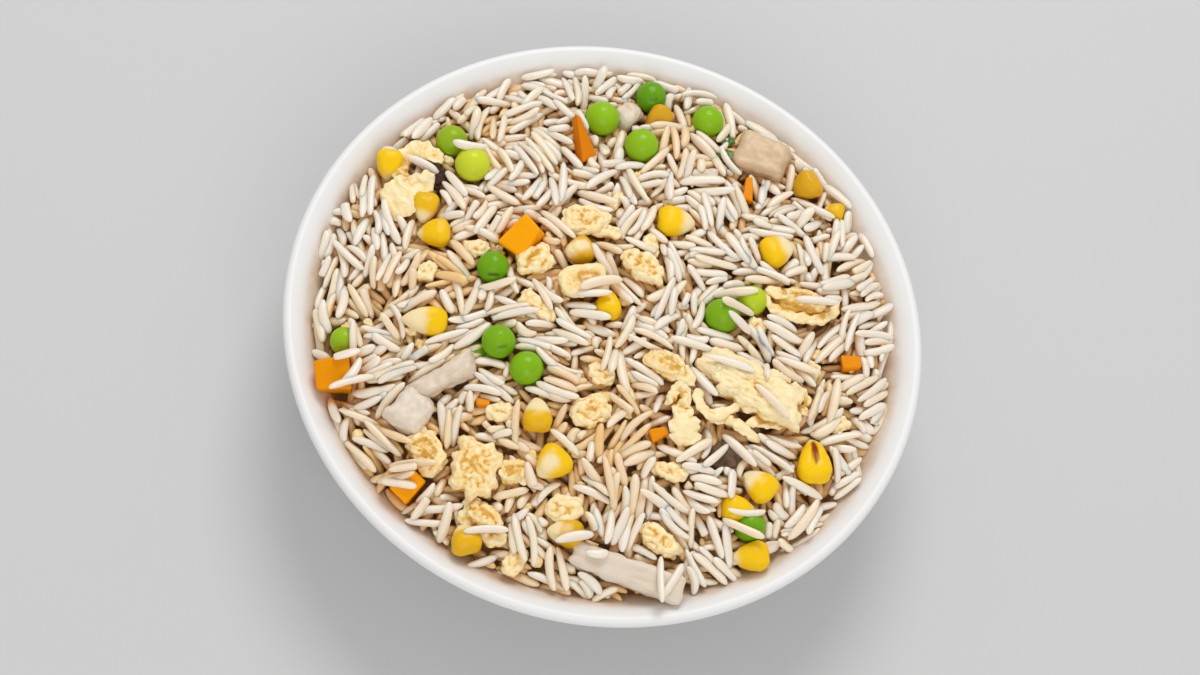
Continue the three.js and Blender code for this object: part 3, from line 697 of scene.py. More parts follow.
def piece(name, body, material, nodes):
    """Adds a body as a named piece of the part, in place of these nodes."""
    mesh = bpy.data.meshes.new(name)
    mesh.vertices.add(len(body.points))
    mesh.vertices.foreach_set("co", (body.points * MM).ravel())
    quads = body.quads
    short = quads[:, 3] < 0
    sizes = np.where(short, 3, 4)
    corners = quads.ravel()[quads.ravel() >= 0]
    mesh.loops.add(len(corners))
    mesh.loops.foreach_set("vertex_index", corners)
    mesh.polygons.add(len(quads))
    mesh.polygons.foreach_set("loop_start", np.concatenate([[0], np.cumsum(sizes)[:-1]]))
    mesh.polygons.foreach_set("use_smooth", np.ones(len(quads), bool))
    for key, value in body.values.items():
        mesh.attributes.new(key, "FLOAT", "POINT").data.foreach_set("value", value)
    mesh.update(calc_edges=True)
    mesh.validate()
    mesh.materials.append(material)
    made = bpy.data.objects.new(name, mesh)
    bpy.context.scene.collection.objects.link(made)
    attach(made, "root")
    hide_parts(*nodes)
    return made


def circle(sides):
    """Angles spaced evenly round a circle."""
    return 2 * math.pi * np.arange(sides) / sides


def latitudes(rings):
    """Angles spaced evenly from pole to pole, without the poles."""
    return math.pi * (np.arange(rings) + 1) / (rings + 1)


def ring_faces(rings, sides, first):
    """Quads between rings of points, each ring with the same number of points, from this point on."""
    k = np.arange(sides)
    after = (k + 1) % sides
    rows = [
        np.stack([a + k, a + after, a + sides + after, a + sides + k], 1)
        for a in first + sides * np.arange(rings - 1)
    ]
    return np.concatenate(rows)


def capped_faces(rings, sides):
    """Faces of a closed skin: the first and last points close the ends, the rings lie between."""
    k = np.arange(sides)
    after = (k + 1) % sides
    none = np.full(sides, -1)
    last = 1 + rings * sides
    start = np.stack([np.zeros(sides, int), 1 + after, 1 + k, none], 1)
    end_ring = last - sides
    end = np.stack([np.full(sides, last), end_ring + k, end_ring + after, none], 1)
    return np.concatenate([start, ring_faces(rings, sides, 1), end])


def flipped(faces):
    """The same faces seen from the other side."""
    back = faces[:, ::-1].copy()
    short = faces[:, 3] < 0
    back[short] = faces[short][:, [2, 1, 0, 3]]
    return back


def waves(points, size, seed, octaves=1):
    """Smooth noise from -1 to 1 whose lumps are about this large, at each point."""
    shift = Vector((seed * 7.31, seed * 3.17, seed * 5.73))
    total = np.zeros(len(points))
    for octave in range(octaves):
        scale = 2 ** octave / size
        total += [noise.noise(Vector(p) * scale + shift) / 2 ** octave for p in points]
    return total


# ------------------------------------------------------------------ the plate

def well_height(radius):
    """Height of the plate's upper face, in millimetres, at a radius."""
    lip_radius = RIM_RADIUS - WALL_END_INSET
    lip_height = RIM_HEIGHT - WALL_END_DROP
    share = np.clip((np.asarray(radius, float) - WELL_RADIUS) / (lip_radius - WELL_RADIUS), 0, 1)
    climb = 1 - np.cos(math.pi * SWEEP * share)
    return WELL_FLOOR + (lip_height - WELL_FLOOR) * climb / (1 - math.cos(math.pi * SWEEP))


def plate_profile():
    """The plate's section from the middle of the well, over the lip, to the middle of the underside."""
    lip = settings("plate").lip / MM
    reach = RIM_RADIUS - lip
    turn = np.linspace(LIP_START, LIP_END, 12)
    bead = np.stack([reach + lip * np.cos(turn), RIM_HEIGHT - lip + lip * np.sin(turn)], 1)
    lip_radius, lip_height = bead[0]
    upper = np.concatenate([np.linspace(0, WELL_RADIUS, 8), np.linspace(WELL_RADIUS, lip_radius, 34)[1:]])
    blend = np.clip((upper - BLEND_RADIUS) / (lip_radius - BLEND_RADIUS), 0, 1) ** 2
    inner = np.stack([upper, well_height(upper) + blend * (lip_height - well_height(lip_radius))], 1)
    steep = np.arctan(np.gradient(inner[:, 1], inner[:, 0]))
    under = inner + np.stack([WALL * np.sin(steep), -WALL * np.cos(steep)], 1)
    under = under[(inner[:, 0] > FOOT_RADIUS + FOOT_GAP) & (inner[:, 0] < reach - LIP_GAP)][::-1]
    inside = FOOT_RADIUS - FOOT_WIDTH
    foot = [
        (FOOT_RADIUS + 1.5, FOOT_HEIGHT + 1.2), (FOOT_RADIUS + 0.6, 1.6), (FOOT_RADIUS, FOOT_EDGE),
        (FOOT_RADIUS - FOOT_EDGE, 0.0), (inside + FOOT_EDGE, 0.0), (inside, FOOT_EDGE),
        (inside - 0.4, FOOT_HEIGHT - 0.6), (inside - 1.6, FOOT_HEIGHT),
        (FOOT_RADIUS * 0.5, FOOT_HEIGHT), (0, FOOT_HEIGHT),
    ]
    return np.concatenate([inner, bead[1:], under, foot])


def turned(profile, sides):
    """A closed body of revolution from a section that starts and ends on the axis."""
    angle = circle(sides)
    middle = profile[1:-1]
    rings = np.stack(
        [
            middle[:, :1] * np.cos(angle),
            middle[:, :1] * np.sin(angle),
            np.repeat(middle[:, 1:], sides, axis=1),
        ],
        axis=2,
    )
    points = np.concatenate([[(0, 0, profile[0, 1])], rings.reshape(-1, 3), [(0, 0, profile[-1, 1])]])
    return Body(points, flipped(capped_faces(len(middle), sides)))


def heap_height(x, y):
    """Height of the food's surface."""
    share = np.minimum(np.hypot(x, y) / HEAP_RADIUS, HEAP_END)
    return RIM_HEIGHT + HEAP_PEAK - HEAP_DROP * share ** HEAP_POWER


def lumps(x, y):
    """Rise and fall of the loose rice about the heap's surface."""
    swell = (
        np.sin(0.40 * x + 0.7) * np.cos(0.34 * y - 0.4)
        + 0.7 * np.sin(0.24 * (x + y) + 2.1)
        + 0.6 * np.cos(0.52 * (x - 0.6 * y) + 1.0)
    )
    return 0.5 * swell - 0.1


# ------------------------------------------------------------------ seats of the toppings

def rotation(turn, tip, roll):
    """A turn about Z, after a tip of the far end, after a roll about the length, in degrees."""
    return (
        Matrix.Rotation(math.radians(turn), 3, "Z")
        @ Matrix.Rotation(-math.radians(tip), 3, "Y")
        @ Matrix.Rotation(math.radians(roll), 3, "X")
    )


def seat_of(node, turn=0, tip=0, roll=0):
    """Where a node's solid lies, as a matrix, and its half sizes along its own axes, in millimetres."""
    mesh = frame["nodes"][node].data
    points = np.empty(len(mesh.vertices) * 3)
    mesh.vertices.foreach_get("co", points)
    pose = rotation(turn, tip, roll)
    own = points.reshape(-1, 3) / MM @ np.array(pose)
    low, high = own.min(0), own.max(0)
    matrix = Matrix.Translation(pose @ Vector((low + high) / 2)) @ pose.to_4x4()
    return matrix, (high - low) / 2


def ball_points(rings, sides):
    """Directions over a sphere, poles on Z: (points, faces)."""
    tilt = latitudes(rings)
    turn = circle(sides)
    ring = np.stack(
        [
            np.sin(tilt)[:, None] * np.cos(turn),
            np.sin(tilt)[:, None] * np.sin(turn),
            np.repeat(-np.cos(tilt)[:, None], sides, axis=1),
        ],
        axis=2,
    )
    points = np.concatenate([[(0, 0, -1)], ring.reshape(-1, 3), [(0, 0, 1)]])
    return points, capped_faces(rings, sides)


# ------------------------------------------------------------------ shapes of the toppings

# A kernel's half width and half depth at stations along its length, from the tip at -1 to the crown at 1.
KERNEL_WIDTHS = [-1, -0.9, -0.6, -0.1, 0.4, 0.75, 1], [0.32, 0.44, 0.62, 0.86, 1.0, 0.98, 0.82]
KERNEL_DEPTHS = [-1, -0.9, -0.5, 0.2, 0.7, 1], [0.5, 0.62, 0.86, 1.0, 0.95, 0.8]

# Egg curds: how square the pillow is, how far its outline wanders and how strong the fine grain on it is, as
# shares. Lobes swell by a share of their size and a length in millimetres. A curd under strips is stretched
# along them and painted more golden, as shade under the strips.
CURD_SQUARENESS = 2.8
CURD_OUTLINE = 0.34
CURD_GRAIN = 0.3
LOBE_SWELL = (0.09, 0.25)
STRETCH_UNDER_STRIPS = 0.4
GOLD_SHADE_UNDER_STRIPS = 0.5

# Egg strips, in millimetres: the thickness and how far the ends reach on. They are wider than their rows say
# by a share.
STRIP_THICKNESS = 1.3
STRIP_TIP = 0.1
STRIP_FULLNESS = 1.15

# A leaf's fold: where it starts, as a share of the half size, how far it turns in degrees, its radius in
# millimetres, and how much larger the flat leaf is for each fold.
FOLD_START = (0.0, 0.75)
FOLD_TURN = (70, 165)
FOLD_RADIUS = 0.7
FOLD_ALLOWANCE = 0.12


def pea_body(half, look, seed):
    """A pea, round but for faint swellings, wrinkles, and a crease where the two halves meet."""
    ripe, dark, wrinkle, crease_turn, crease_tilt, depth = look
    way, faces = ball_points(30, 44)
    swellings = waves(way, 0.9, seed)
    wrinkles = waves(way, 0.32, seed + 40)
    radius = 1 + 0.02 * swellings + 0.03 * wrinkle * wrinkles
    turn, tilt = math.radians(crease_turn), math.radians(crease_tilt)
    heart = np.array([math.cos(tilt) * math.sin(turn), -math.cos(tilt) * math.cos(turn), math.sin(tilt)])
    side = np.cross(heart, (0, 0, 1))
    side /= np.linalg.norm(side)
    over = np.cross(side, heart)
    crease_width, crease_length, crease_depth = 0.13, 0.42, 0.10
    slit = np.exp(-((way @ over) / crease_width) ** 2 - ((way @ side) / crease_length) ** 4)
    slit = slit * (way @ heart > 0)
    radius -= crease_depth * depth * slit
    # Painted shade: near black in the crease.
    crease_shade = np.clip(depth * slit * 1.2 - 0.2, 0, 1)
    return Body(way * radius[:, None] * half, faces, ripe=ripe, dark=dark, crease_shade=crease_shade)


def kernel_body(half, look, seed):
    """A kernel of sweetcorn: a wedge from a pale tip to a full crown with a dent, and a slit where asked."""
    amber, pale_share, patch, slit = look
    rings, sides = 26, 36
    s = -np.cos(latitudes(rings))
    width = np.interp(s, *KERNEL_WIDTHS)
    deep = np.interp(s, *KERNEL_DEPTHS)
    close = np.sqrt(1 - np.abs(s) ** 3.2)
    turn = circle(sides)
    square = (np.abs(np.cos(turn)) ** 3 + np.abs(np.sin(turn)) ** 3) ** (-1 / 3)
    ring = np.stack(
        [
            np.repeat(s[:, None], sides, axis=1),
            (width * close)[:, None] * square * np.cos(turn),
            (deep * close)[:, None] * square * np.sin(turn),
        ],
        axis=2,
    ).reshape(-1, 3)
    points = np.concatenate([[(-1, 0, 0)], ring, [(0.97, 0, 0)]])
    dent_depth, slit_depth = 0.10, 0.22
    dent = np.exp(-((points[:, 1] / 0.5) ** 2)) * np.clip((points[:, 0] - 0.6) / 0.4, 0, 1)
    points[:, 0] -= dent_depth * dent
    points *= 1 + 0.05 * waves(points, 0.7, seed, 2)[:, None]
    pale = np.clip((2 * pale_share - 1 - points[:, 0]) / 0.5 + 0.5, 0, 1)
    pale = np.maximum(pale, patch * face_spot(points, width=0.42, centre=-0.25, length=0.55) * 1.2)
    cut = slit * face_spot(points, width=0.15, centre=-0.28, length=0.56)
    points[:, 2] -= slit_depth * cut
    # Painted shade: dark where the slit is cut in.
    slit_shade = np.clip(2.8 * cut - 0.4, 0, 1)
    return Body(points * half, capped_faces(rings, sides), amber=amber, pale=pale, slit_shade=slit_shade)


def face_spot(points, width, centre, length):
    """1 within a long spot on the upper face of a unit body, fading to 0 around it."""
    spot = np.exp(-((points[:, 1] / width) ** 2) - ((points[:, 0] - centre) / length) ** 4)
    return spot * (points[:, 2] > 0)


def cube_points(steps):
    """Points of a cube's surface from -1 to 1, with this many faces along an edge: (points, faces)."""
    line = np.linspace(-1, 1, steps + 1)
    a, b = (grid.ravel() for grid in np.meshgrid(line, line, indexing="ij"))
    one = np.ones_like(a)
    sides = [(a, b, one), (b, a, -one), (one, a, b), (-one, b, a), (b, one, a), (a, -one, b)]
    points = np.concatenate([np.stack(side, 1) for side in sides])
    k = np.arange(steps)
    corner = (k[:, None] * (steps + 1) + k).ravel()
    quad = np.stack([corner, corner + steps + 1, corner + steps + 2, corner + 1], 1)
    quads = np.concatenate([quad + len(a) * side for side in range(6)])
    whole, where = np.unique(np.round(points, 6), axis=0, return_inverse=True)
    return whole, where.ravel()[quads]


def block_body(half, edge, seed, rough, skew, steps):
    """A cut block with edges rounded to this radius, faces rough by so much, and no two faces parallel."""
    random = np.random.default_rng(seed)
    unit, faces = cube_points(steps)
    lean = random.uniform(-skew, skew, (3, 3))
    np.fill_diagonal(lean, 0)
    shape = unit * half
    inner = np.clip(shape, edge - half, half - edge)
    out = shape - inner
    out /= np.maximum(np.linalg.norm(out, axis=1), 1e-9)[:, None]
    points = inner + edge * out
    points = points + out * (rough * waves(points, 2.6, seed, 2))[:, None]
    points = points * (1 + (unit @ lean) * 0.8)
    return Body(points, faces)


def carrot_body(half, look, seed):
    """A cut piece of carrot, some tapering to one end."""
    dark, narrowing = look
    body = block_body(half, edge=0.5, seed=seed, rough=0.16, skew=0.14, steps=22 if half[0] > 3.5 else 12)
    points = body.points.copy()
    taper = 1 - narrowing * (points[:, 0] / half[0] + 1) / 2
    points[:, 1] *= taper
    points[:, 2] = (points[:, 2] - half[2]) * (0.5 + 0.5 * taper) + half[2]
    return Body(points, body.quads, dark=dark)


def chicken_body(half, look, seed):
    """A torn or sliced piece of chicken with strands along its length."""
    pink, edge = look
    steps = 22 if half[0] > 4.5 else 14
    body = block_body(half, edge * min(half), seed, rough=0.5, skew=0.2, steps=steps)
    strand = waves(body.points * (0.2, 1.0, 1.0), 1.3, seed + 5, 2)
    outward = body.points / np.maximum(np.linalg.norm(body.points, axis=1), 1e-6)[:, None]
    points = body.points + outward * (0.12 * strand + 0.3 * waves(body.points, 2.4, seed + 8))[:, None]
    return Body(points, body.quads, pink=pink, strand=np.clip(-2 * strand, 0, 1))


def folded(points, half, folds, seed):
    """Bends a flat sheet along straight lines, one after another."""
    random = np.random.default_rng(seed)
    for _ in range(folds):
        way = random.uniform(0, 2 * math.pi)
        across = np.array([math.cos(way), math.sin(way), 0])
        start = random.uniform(*FOLD_START) * abs(across[:2] * half[:2]).sum()
        most = math.radians(random.uniform(*FOLD_TURN))
        past = np.clip(points @ across - start, 0, None)
        bend = np.minimum(past / FOLD_RADIUS, most)
        flat = np.clip(past - FOLD_RADIUS * most, 0, None)
        shift = FOLD_RADIUS * np.sin(bend) + flat * math.cos(most) - past
        lift = FOLD_RADIUS * (1 - np.cos(bend)) + flat * math.sin(most)
        points = points + shift[:, None] * across + lift[:, None] * (0, 0, 1)
    return points


def sheet_body(half, thickness, ruffle, size, seed, ragged, folds):
    """A crumpled sheet with a ragged outline: both faces are the same surface, a thickness apart."""
    rings, sides = 15, 60
    share = np.sin(0.5 * math.pi * (np.arange(rings) + 1) / rings)
    turn = circle(sides)
    around = np.stack([np.cos(turn), np.sin(turn), 0 * turn], 1)
    reach = 1 + ragged * waves(around, 0.8, seed, 3)
    flat = (share[:, None, None] * (around * reach[:, None])[None]).reshape(-1, 3) * (half[0], half[1], 0)
    flat = np.concatenate([[(0, 0, 0)], flat])
    shares = np.concatenate([[0], np.repeat(share, sides)])
    bent = folded(flat * (1.0 + FOLD_ALLOWANCE * folds), half, folds, seed)
    drift = [waves(flat, size * 1.4, seed + 3), waves(flat, size * 1.4, seed + 6), 0 * shares]
    bent = bent + 0.35 * size * np.stack(drift, 1)
    ridge = 1 - 2.6 * np.abs(waves(bent * (1, 1, 0.4), size * 1.5, seed + 9))
    ripple = waves(bent, size * 0.6, seed + 12)
    height = ruffle * (0.45 * ridge + 0.35 * ripple)
    height += ruffle * 0.7 * shares ** 3 * waves(flat, size * 1.1, seed + 15)
    middle = bent + np.stack([0 * shares, 0 * shares, height], 1)
    spread = np.ptp(middle[:, :2], axis=0) / (2 * half[:2])
    middle[:, :2] = (middle[:, :2] - (middle[:, :2].max(0) + middle[:, :2].min(0)) / 2) / spread
    normal = surface_normals(middle, rings, sides)
    rim = np.sqrt(np.clip(1.02 - shares ** 6, 0.02, 1))
    swell = thickness * 0.5 * rim * (1 + 0.4 * waves(bent, 1.6, seed + 18, 2))
    upper, lower = middle + swell[:, None] * normal, middle - swell[:, None] * normal
    order = np.concatenate([[0], *[1 + sides * r + np.arange(sides) for r in range(rings)]])
    over = upper[1:].reshape(rings, sides, 3)[::-1].reshape(-1, 3)
    points = np.concatenate([lower[order], over, upper[:1]])
    points[:, 2] -= (points[:, 2].min() + points[:, 2].max()) / 2
    return Body(points, capped_faces(2 * rings, sides))


def surface_normals(points, rings, sides):
    """Upward normals of a surface made of a middle point and rings of points."""
    grid = np.concatenate([np.repeat(points[:1], sides, 0), points[1:]]).reshape(rings + 1, sides, 3)
    outward = np.gradient(grid, axis=0)
    around = np.roll(grid, -1, 1) - np.roll(grid, 1, 1)
    normal = np.cross(outward, around)
    normal[0] = normal[1].mean(0)
    normal /= np.maximum(np.linalg.norm(normal, axis=2), 1e-9)[..., None]
    return np.concatenate([normal[0, :1], normal[1:].reshape(-1, 3)])


def curd_body(half, size, seed, rough, detail, stretch=1.0):
    """One soft curd: a pillow with round lobes of about this size and creases between them."""
    way, faces = ball_points(detail, detail * 3 // 2)
    pillow = way / (np.abs(way) ** CURD_SQUARENESS).sum(1)[:, None] ** (1 / CURD_SQUARENESS)
    points = pillow * half
    around = way[:, :2] / np.maximum(np.hypot(way[:, :1], way[:, 1:2]), 1e-6) * half[:2]
    rim = (way[:, :2] ** 2).sum(1)
    outline = 1 + CURD_OUTLINE * rim * waves(np.pad(around, ((0, 0), (0, 1))), size * 1.2 + 1, seed, 2)
    points[:, :2] *= outline[:, None]
    lobes = waves(points * (stretch, 1, 1.5), size, seed + 7)
    outward = way / half
    outward /= np.linalg.norm(outward, axis=1)[:, None]
    rise = 2.1 * np.sqrt(np.abs(lobes)) - 1
    fine = 1.6 * np.sqrt(np.abs(waves(points, 1.5, seed + 9))) + waves(points, 0.8, seed + 11)
    swell = LOBE_SWELL[0] * size + LOBE_SWELL[1]
    return Body(points + outward * (swell * rise + CURD_GRAIN * rough * fine)[:, None], faces)


def smooth_path(rows, stations):
    """Catmull-Rom through rows of numbers, with this many stations from row to row."""
    rows = np.asarray(rows, float)
    ends = np.concatenate([[2 * rows[0] - rows[1]], rows, [2 * rows[-1] - rows[-2]]])
    t = np.linspace(0, 1, stations, endpoint=False)[:, None]
    parts = [
        b + 0.5 * t * (c - a + t * (2 * a - 5 * b + 4 * c - d + t * (3 * (b - c) + d - a)))
        for a, b, c, d in zip(ends, ends[1:], ends[2:], ends[3:])
    ]
    return np.concatenate([*parts, rows[-1:]])


def strip_body(rows, seed, rough):
    """A soft strip of egg along rows of x, y, height above the heap, width and bank in degrees."""
    x, y, lift, width, bank = smooth_path(rows, stations=13).T
    line = np.stack([x, y, heap_height(x, y) + lift], 1)
    forward = np.gradient(line, axis=0)
    forward /= np.linalg.norm(forward, axis=1)[:, None]
    side = np.cross(forward, (0, 0, 1))
    side /= np.linalg.norm(side, axis=1)[:, None]
    up = np.cross(side, forward)
    bank = np.radians(bank)[:, None]
    side, up = side * np.cos(bank) + up * np.sin(bank), up * np.cos(bank) - side * np.sin(bank)
    count, sides = len(line), 26
    turn = circle(sides)
    share = np.linspace(-1, 1, count)
    blunt = (1 - np.abs(share) ** 7 + 1e-3) ** 0.5
    ragged = 0.45 * waves(line, 2.6, seed) + 0.3 * waves(line, 1.1, seed + 1)
    wide = width / 2 * blunt * (STRIP_FULLNESS + rough * ragged)
    thick = STRIP_THICKNESS / 2 * blunt * (1 + 0.3 * waves(line, 2.0, seed + 2))
    across = np.sign(np.cos(turn)) * np.abs(np.cos(turn)) ** 0.8
    over = np.sin(turn)
    ring = line[:, None] + side[:, None] * (wide[:, None] * across)[..., None]
    ring = ring + up[:, None] * (thick[:, None] * over)[..., None]
    ends = line[:1] - forward[:1] * STRIP_TIP, line[-1:] + forward[-1:] * STRIP_TIP
    points = np.concatenate([ends[0], ring.reshape(-1, 3), ends[1]])
    drift = [waves(points, 1.9, seed + k) + 0.6 * waves(points, 0.9, seed + k) for k in (4, 5, 6)]
    drift = np.stack(drift, 1)
    crumple = 1 - 2 * np.abs(waves(points, 2.4, seed + 7)) ** 0.6
    drift[:, 2] += 0.9 * crumple
    return Body(points + (0.2 + 0.3 * rough) * drift, capped_faces(count, sides))


def folds_of(points):
    """How deep each point lies in a fold, from 0 on the ridges to 1."""
    cell, reach = 0.4, 4
    low = points.min(0)
    i, j = ((points[:, :2] - low[:2]) / cell + reach).astype(int).T
    top = np.full((i.max() + reach + 1, j.max() + reach + 1), low[2])
    np.maximum.at(top, (i, j), points[:, 2])
    top = np.maximum(top, smoothed(top, 1))
    below = smoothed(top, reach)[i, j] - points[:, 2]
    return np.clip(0.38 + 1.1 * below, 0, 1)


def egg_body(node, half, matrix, look, seed):
    """Scrambled egg: soft curds, and the strips that lie on them."""
    curd, size, gold, rough = look
    strips = EGG_STRIPS.get(node, [])
    stretch = STRETCH_UNDER_STRIPS if strips else 1.0
    base = half * (0.92 * curd, 0.92 * curd, 0.95)
    parts = [curd_body(base, size, seed, rough, detail=48, stretch=stretch).moved(matrix)] if curd else []
    under = sum(len(part.points) for part in parts)
    parts += [strip_body(rows, seed + 20 * k, rough) for k, rows in enumerate(strips)]
    body = joined(parts)
    # Painted shade: the curd under strips is made more golden, and every point more golden deep in a fold.
    golds = np.full(len(body.points), float(gold))
    if strips:
        golds[:under] += GOLD_SHADE_UNDER_STRIPS
    return Body(body.points, body.quads, fold_shade=folds_of(body.points), gold=golds)


def egg_scrap(half, look, seed):
    """A small curd that has come off."""
    size, gold, detail = look
    body = curd_body(half * (0.9, 0.9, 0.8), size, seed, rough=1.0, detail=detail)
    # Painted shade: more golden deep in its folds.
    return Body(body.points, body.quads, fold_shade=folds_of(body.points), gold=gold)


def mushroom_body(half, look, seed):
    """A slice of mushroom, thick and ruffled."""
    body = sheet_body(half, thickness=1.8, ruffle=1.4, size=2.2, seed=seed, ragged=0.35, folds=0)
    return Body(body.points, body.quads, pale=look[0])


def greens_body(half, look, seed):
    """A bit of spring onion leaf, folded once."""
    return sheet_body(half, thickness=0.6, ruffle=0.8, size=2.0, seed=seed, ragged=0.3, folds=1)


def topping_seed(kind, index):
    """The seed that a topping's random shape starts from."""
    return 100 * len(kind) + index


def add_topping(kind, node, body):
    """Adds a body in place of a topping's solid, marked so that grains are kept off it."""
    made = piece(node + "_dressed", body, finish_of(kind), [node])
    made["topping"] = kind


def topping_operator(kind, rows, make, angles=3):
    """Builds every topping of one kind where its solid lies."""
    for index, (node, row) in enumerate(rows.items()):
        matrix, half = seat_of(node, *row[:angles])
        add_topping(kind, node, make(half, row[angles:], topping_seed(kind, index)).moved(matrix))


# ------------------------------------------------------------------ the pile that grains are dropped on

class Pile:
    """The upper surface of all that lies on the plate so far, on a square grid, in millimetres."""

    CELL = 0.25
    # Where a grain feels the surface under it, as shares of its half length and of its width.
    STATIONS = np.linspace(-0.92, 0.92, 9)
    MIDDLE = 4
    ACROSS = np.array([-0.32, 0.0, 0.32])
    SINK = 0.6
    BURIED = 1.3
    STEEPEST = 1.2
    SEEN_DEPTH = 1.5

    def __init__(self, depth):
        self.half = RIM_RADIUS
        count = int(2 * self.half / self.CELL) + 1
        axis = np.linspace(-self.half, self.half, count)
        self.x, self.y = np.meshgrid(axis, axis, indexing="ij")
        radius = np.hypot(self.x, self.y)
        self.top = np.maximum(well_height(radius), heap_height(self.x, self.y) - depth)
        self.taken = np.zeros_like(self.top)

    def cells(self, x, y):
        """The grid's cells at these places."""
        limit = len(self.top) - 1
        i = np.clip(np.rint((x + self.half) / self.CELL), 0, limit).astype(int)
        j = np.clip(np.rint((y + self.half) / self.CELL), 0, limit).astype(int)
        return i, j

    def lay_mesh(self, mesh, weight):
        """Raises the surface to a mesh's upper side, and marks how far grains are kept off it."""
        mesh.calc_loop_triangles()
        points = np.empty(len(mesh.vertices) * 3)
        mesh.vertices.foreach_get("co", points)
        corners = np.empty(len(mesh.loop_triangles) * 3, int)
        mesh.loop_triangles.foreach_get("vertices", corners)
        triangles = (points.reshape(-1, 3) / MM)[corners.reshape(-1, 3)]
        steps = [(a, b, 1 - a - b) for a in (0.02, 0.33, 0.66, 0.96) for b in (0.02, 0.33, 0.66) if a + b < 1]
        spots = np.concatenate([np.tensordot(triangles, w, axes=(1, 0)) for w in np.array(steps)])
        i, j = self.cells(spots[:, 0], spots[:, 1])
        np.maximum.at(self.top, (i, j), spots[:, 2])
        seen = spots[:, 2] > heap_height(spots[:, 0], spots[:, 1]) - self.SEEN_DEPTH
        np.maximum.at(self.taken, (i[seen], j[seen]), weight)

    def rest(self, x, y, turn, size):
        """Where grains dropped at these places come to rest: height, slope, cover of toppings and reach."""
        along = self.STATIONS * size[0] / 2
        across = self.ACROSS * size[1]
        c, s = np.cos(turn)[:, None, None], np.sin(turn)[:, None, None]
        px = x[:, None, None] + c * along[:, None] - s * across
        py = y[:, None, None] + s * along[:, None] + c * across
        i, j = self.cells(px, py)
        need = self.top[i, j].max(2) + grain_radius(self.STATIONS) * size[2] / 2 - self.SINK
        start, end = slice(None, self.MIDDLE), slice(self.MIDDLE + 1, None)
        left, middle, right = need[:, start, None], need[:, self.MIDDLE], need[:, None, end]
        a, b = along[start, None], along[None, end]
        count = len(x)
        bridge = ((left * b - right * a) / (b - a)).reshape(count, -1)
        slopes = ((right - left) / (b - a)).reshape(count, -1)
        best = bridge.argmax(1)
        held = bridge.max(1)
        most = ((need[:, start] - middle[:, None]) / along[start]).min(1)
        least = ((need[:, end] - middle[:, None]) / along[end]).max(1)
        tipped = np.where(np.abs(most) < np.abs(least), most, least)
        on_middle = middle > held
        slope = np.where(on_middle, tipped, slopes[np.arange(count), best])
        return (
            np.where(on_middle, middle, held),
            np.clip(slope, -self.STEEPEST, self.STEEPEST),
            self.taken[i, j].mean((1, 2)),
            np.hypot(px, py).max((1, 2)),
        )

    def shows(self, grain):
        """Whether any of a grain comes near the surface."""
        x, y, z, turn, slope, size = grain
        along = self.STATIONS * size[0] / 2
        crown = z + slope * along + grain_radius(self.STATIONS) * size[2] / 2
        i, j = self.cells(x + along * math.cos(turn), y + along * math.sin(turn))
        return (self.top[i, j] - crown).min() < self.BURIED

    def lay_grain(self, grain):
        """Raises the surface to a grain's upper side."""
        x, y, z, turn, slope, size = grain
        reach = size[0] / 2 + self.CELL
        i0, j0 = self.cells(x - reach, y - reach)
        i1, j1 = self.cells(x + reach, y + reach)
        window = (slice(i0, i1 + 1), slice(j0, j1 + 1))
        dx, dy = self.x[window] - x, self.y[window] - y
        along = dx * math.cos(turn) + dy * math.sin(turn)
        across = (dy * math.cos(turn) - dx * math.sin(turn)) / (size[1] / 2)
        flat = math.cos(math.atan(slope))
        girth = grain_radius(np.clip(along / (size[0] / 2 * flat), -1, 1))
        inside = np.abs(across) < girth
        crown = z + slope * along + size[2] / 2 * np.sqrt(np.clip(girth ** 2 - across ** 2, 0, None))
        self.top[window] = np.where(inside, np.maximum(self.top[window], crown), self.top[window])


def grain_radius(share):
    """A grain's girth along its length, from -1 to 1."""
    return np.clip(1 - np.abs(share) ** 3.7, 0, 1) ** 0.52


def smoothed(grid, reach):
    """The mean of a grid over a square window."""
    span = 2 * reach + 1
    for axis in (0, 1):
        size = grid.shape[axis]
        start, end = grid.take([0], axis), grid.take([-1], axis)
        padded = np.concatenate([start.repeat(reach + 1, axis), grid, end.repeat(reach, axis)], axis)
        total = np.cumsum(padded, axis)
        grid = (total.take(range(span, span + size), axis) - total.take(range(size), axis)) / span
    return grid


# Which way the grains tend to lie: x, y and the turn in degrees.
COMBED = [
    (-62, 0, 95), (-52, -12, 60), (-42, 22, 20), (-38, 44, 40), (-20, 60, 25), (-8, 36, 70), (12, 50, 80),
    (10, 20, 120), (30, 40, 100), (48, 38, 110), (60, 20, 60), (50, 0, 20), (40, 10, 55), (14, 2, 100),
    (-8, -8, 15), (-30, 8, 165), (-44, -28, 45), (-22, -34, 130), (6, -32, 85), (18, -44, 60),
    (34, -46, 120), (56, -34, 150), (12, -62, 165), (-24, -62, 20), (-50, -44, 110), (64, -6, 20),
]

# Where the rice has taken up more sauce: x, y, radius and share.
SAUCY = [
    (-40, -2, 9, 0.45), (-20, 14, 9, 0.3), (-36, -48, 12, 0.4), (-56, -14, 9, 0.25), (4, -24, 12, 0.4),
    (14, -36, 10, 0.35), (-12, -40, 12, 0.3), (54, 0, 9, 0.35), (-2, 14, 8, 0.3), (2, 52, 9, 0.35),
    (-44, 40, 7, 0.3),
]

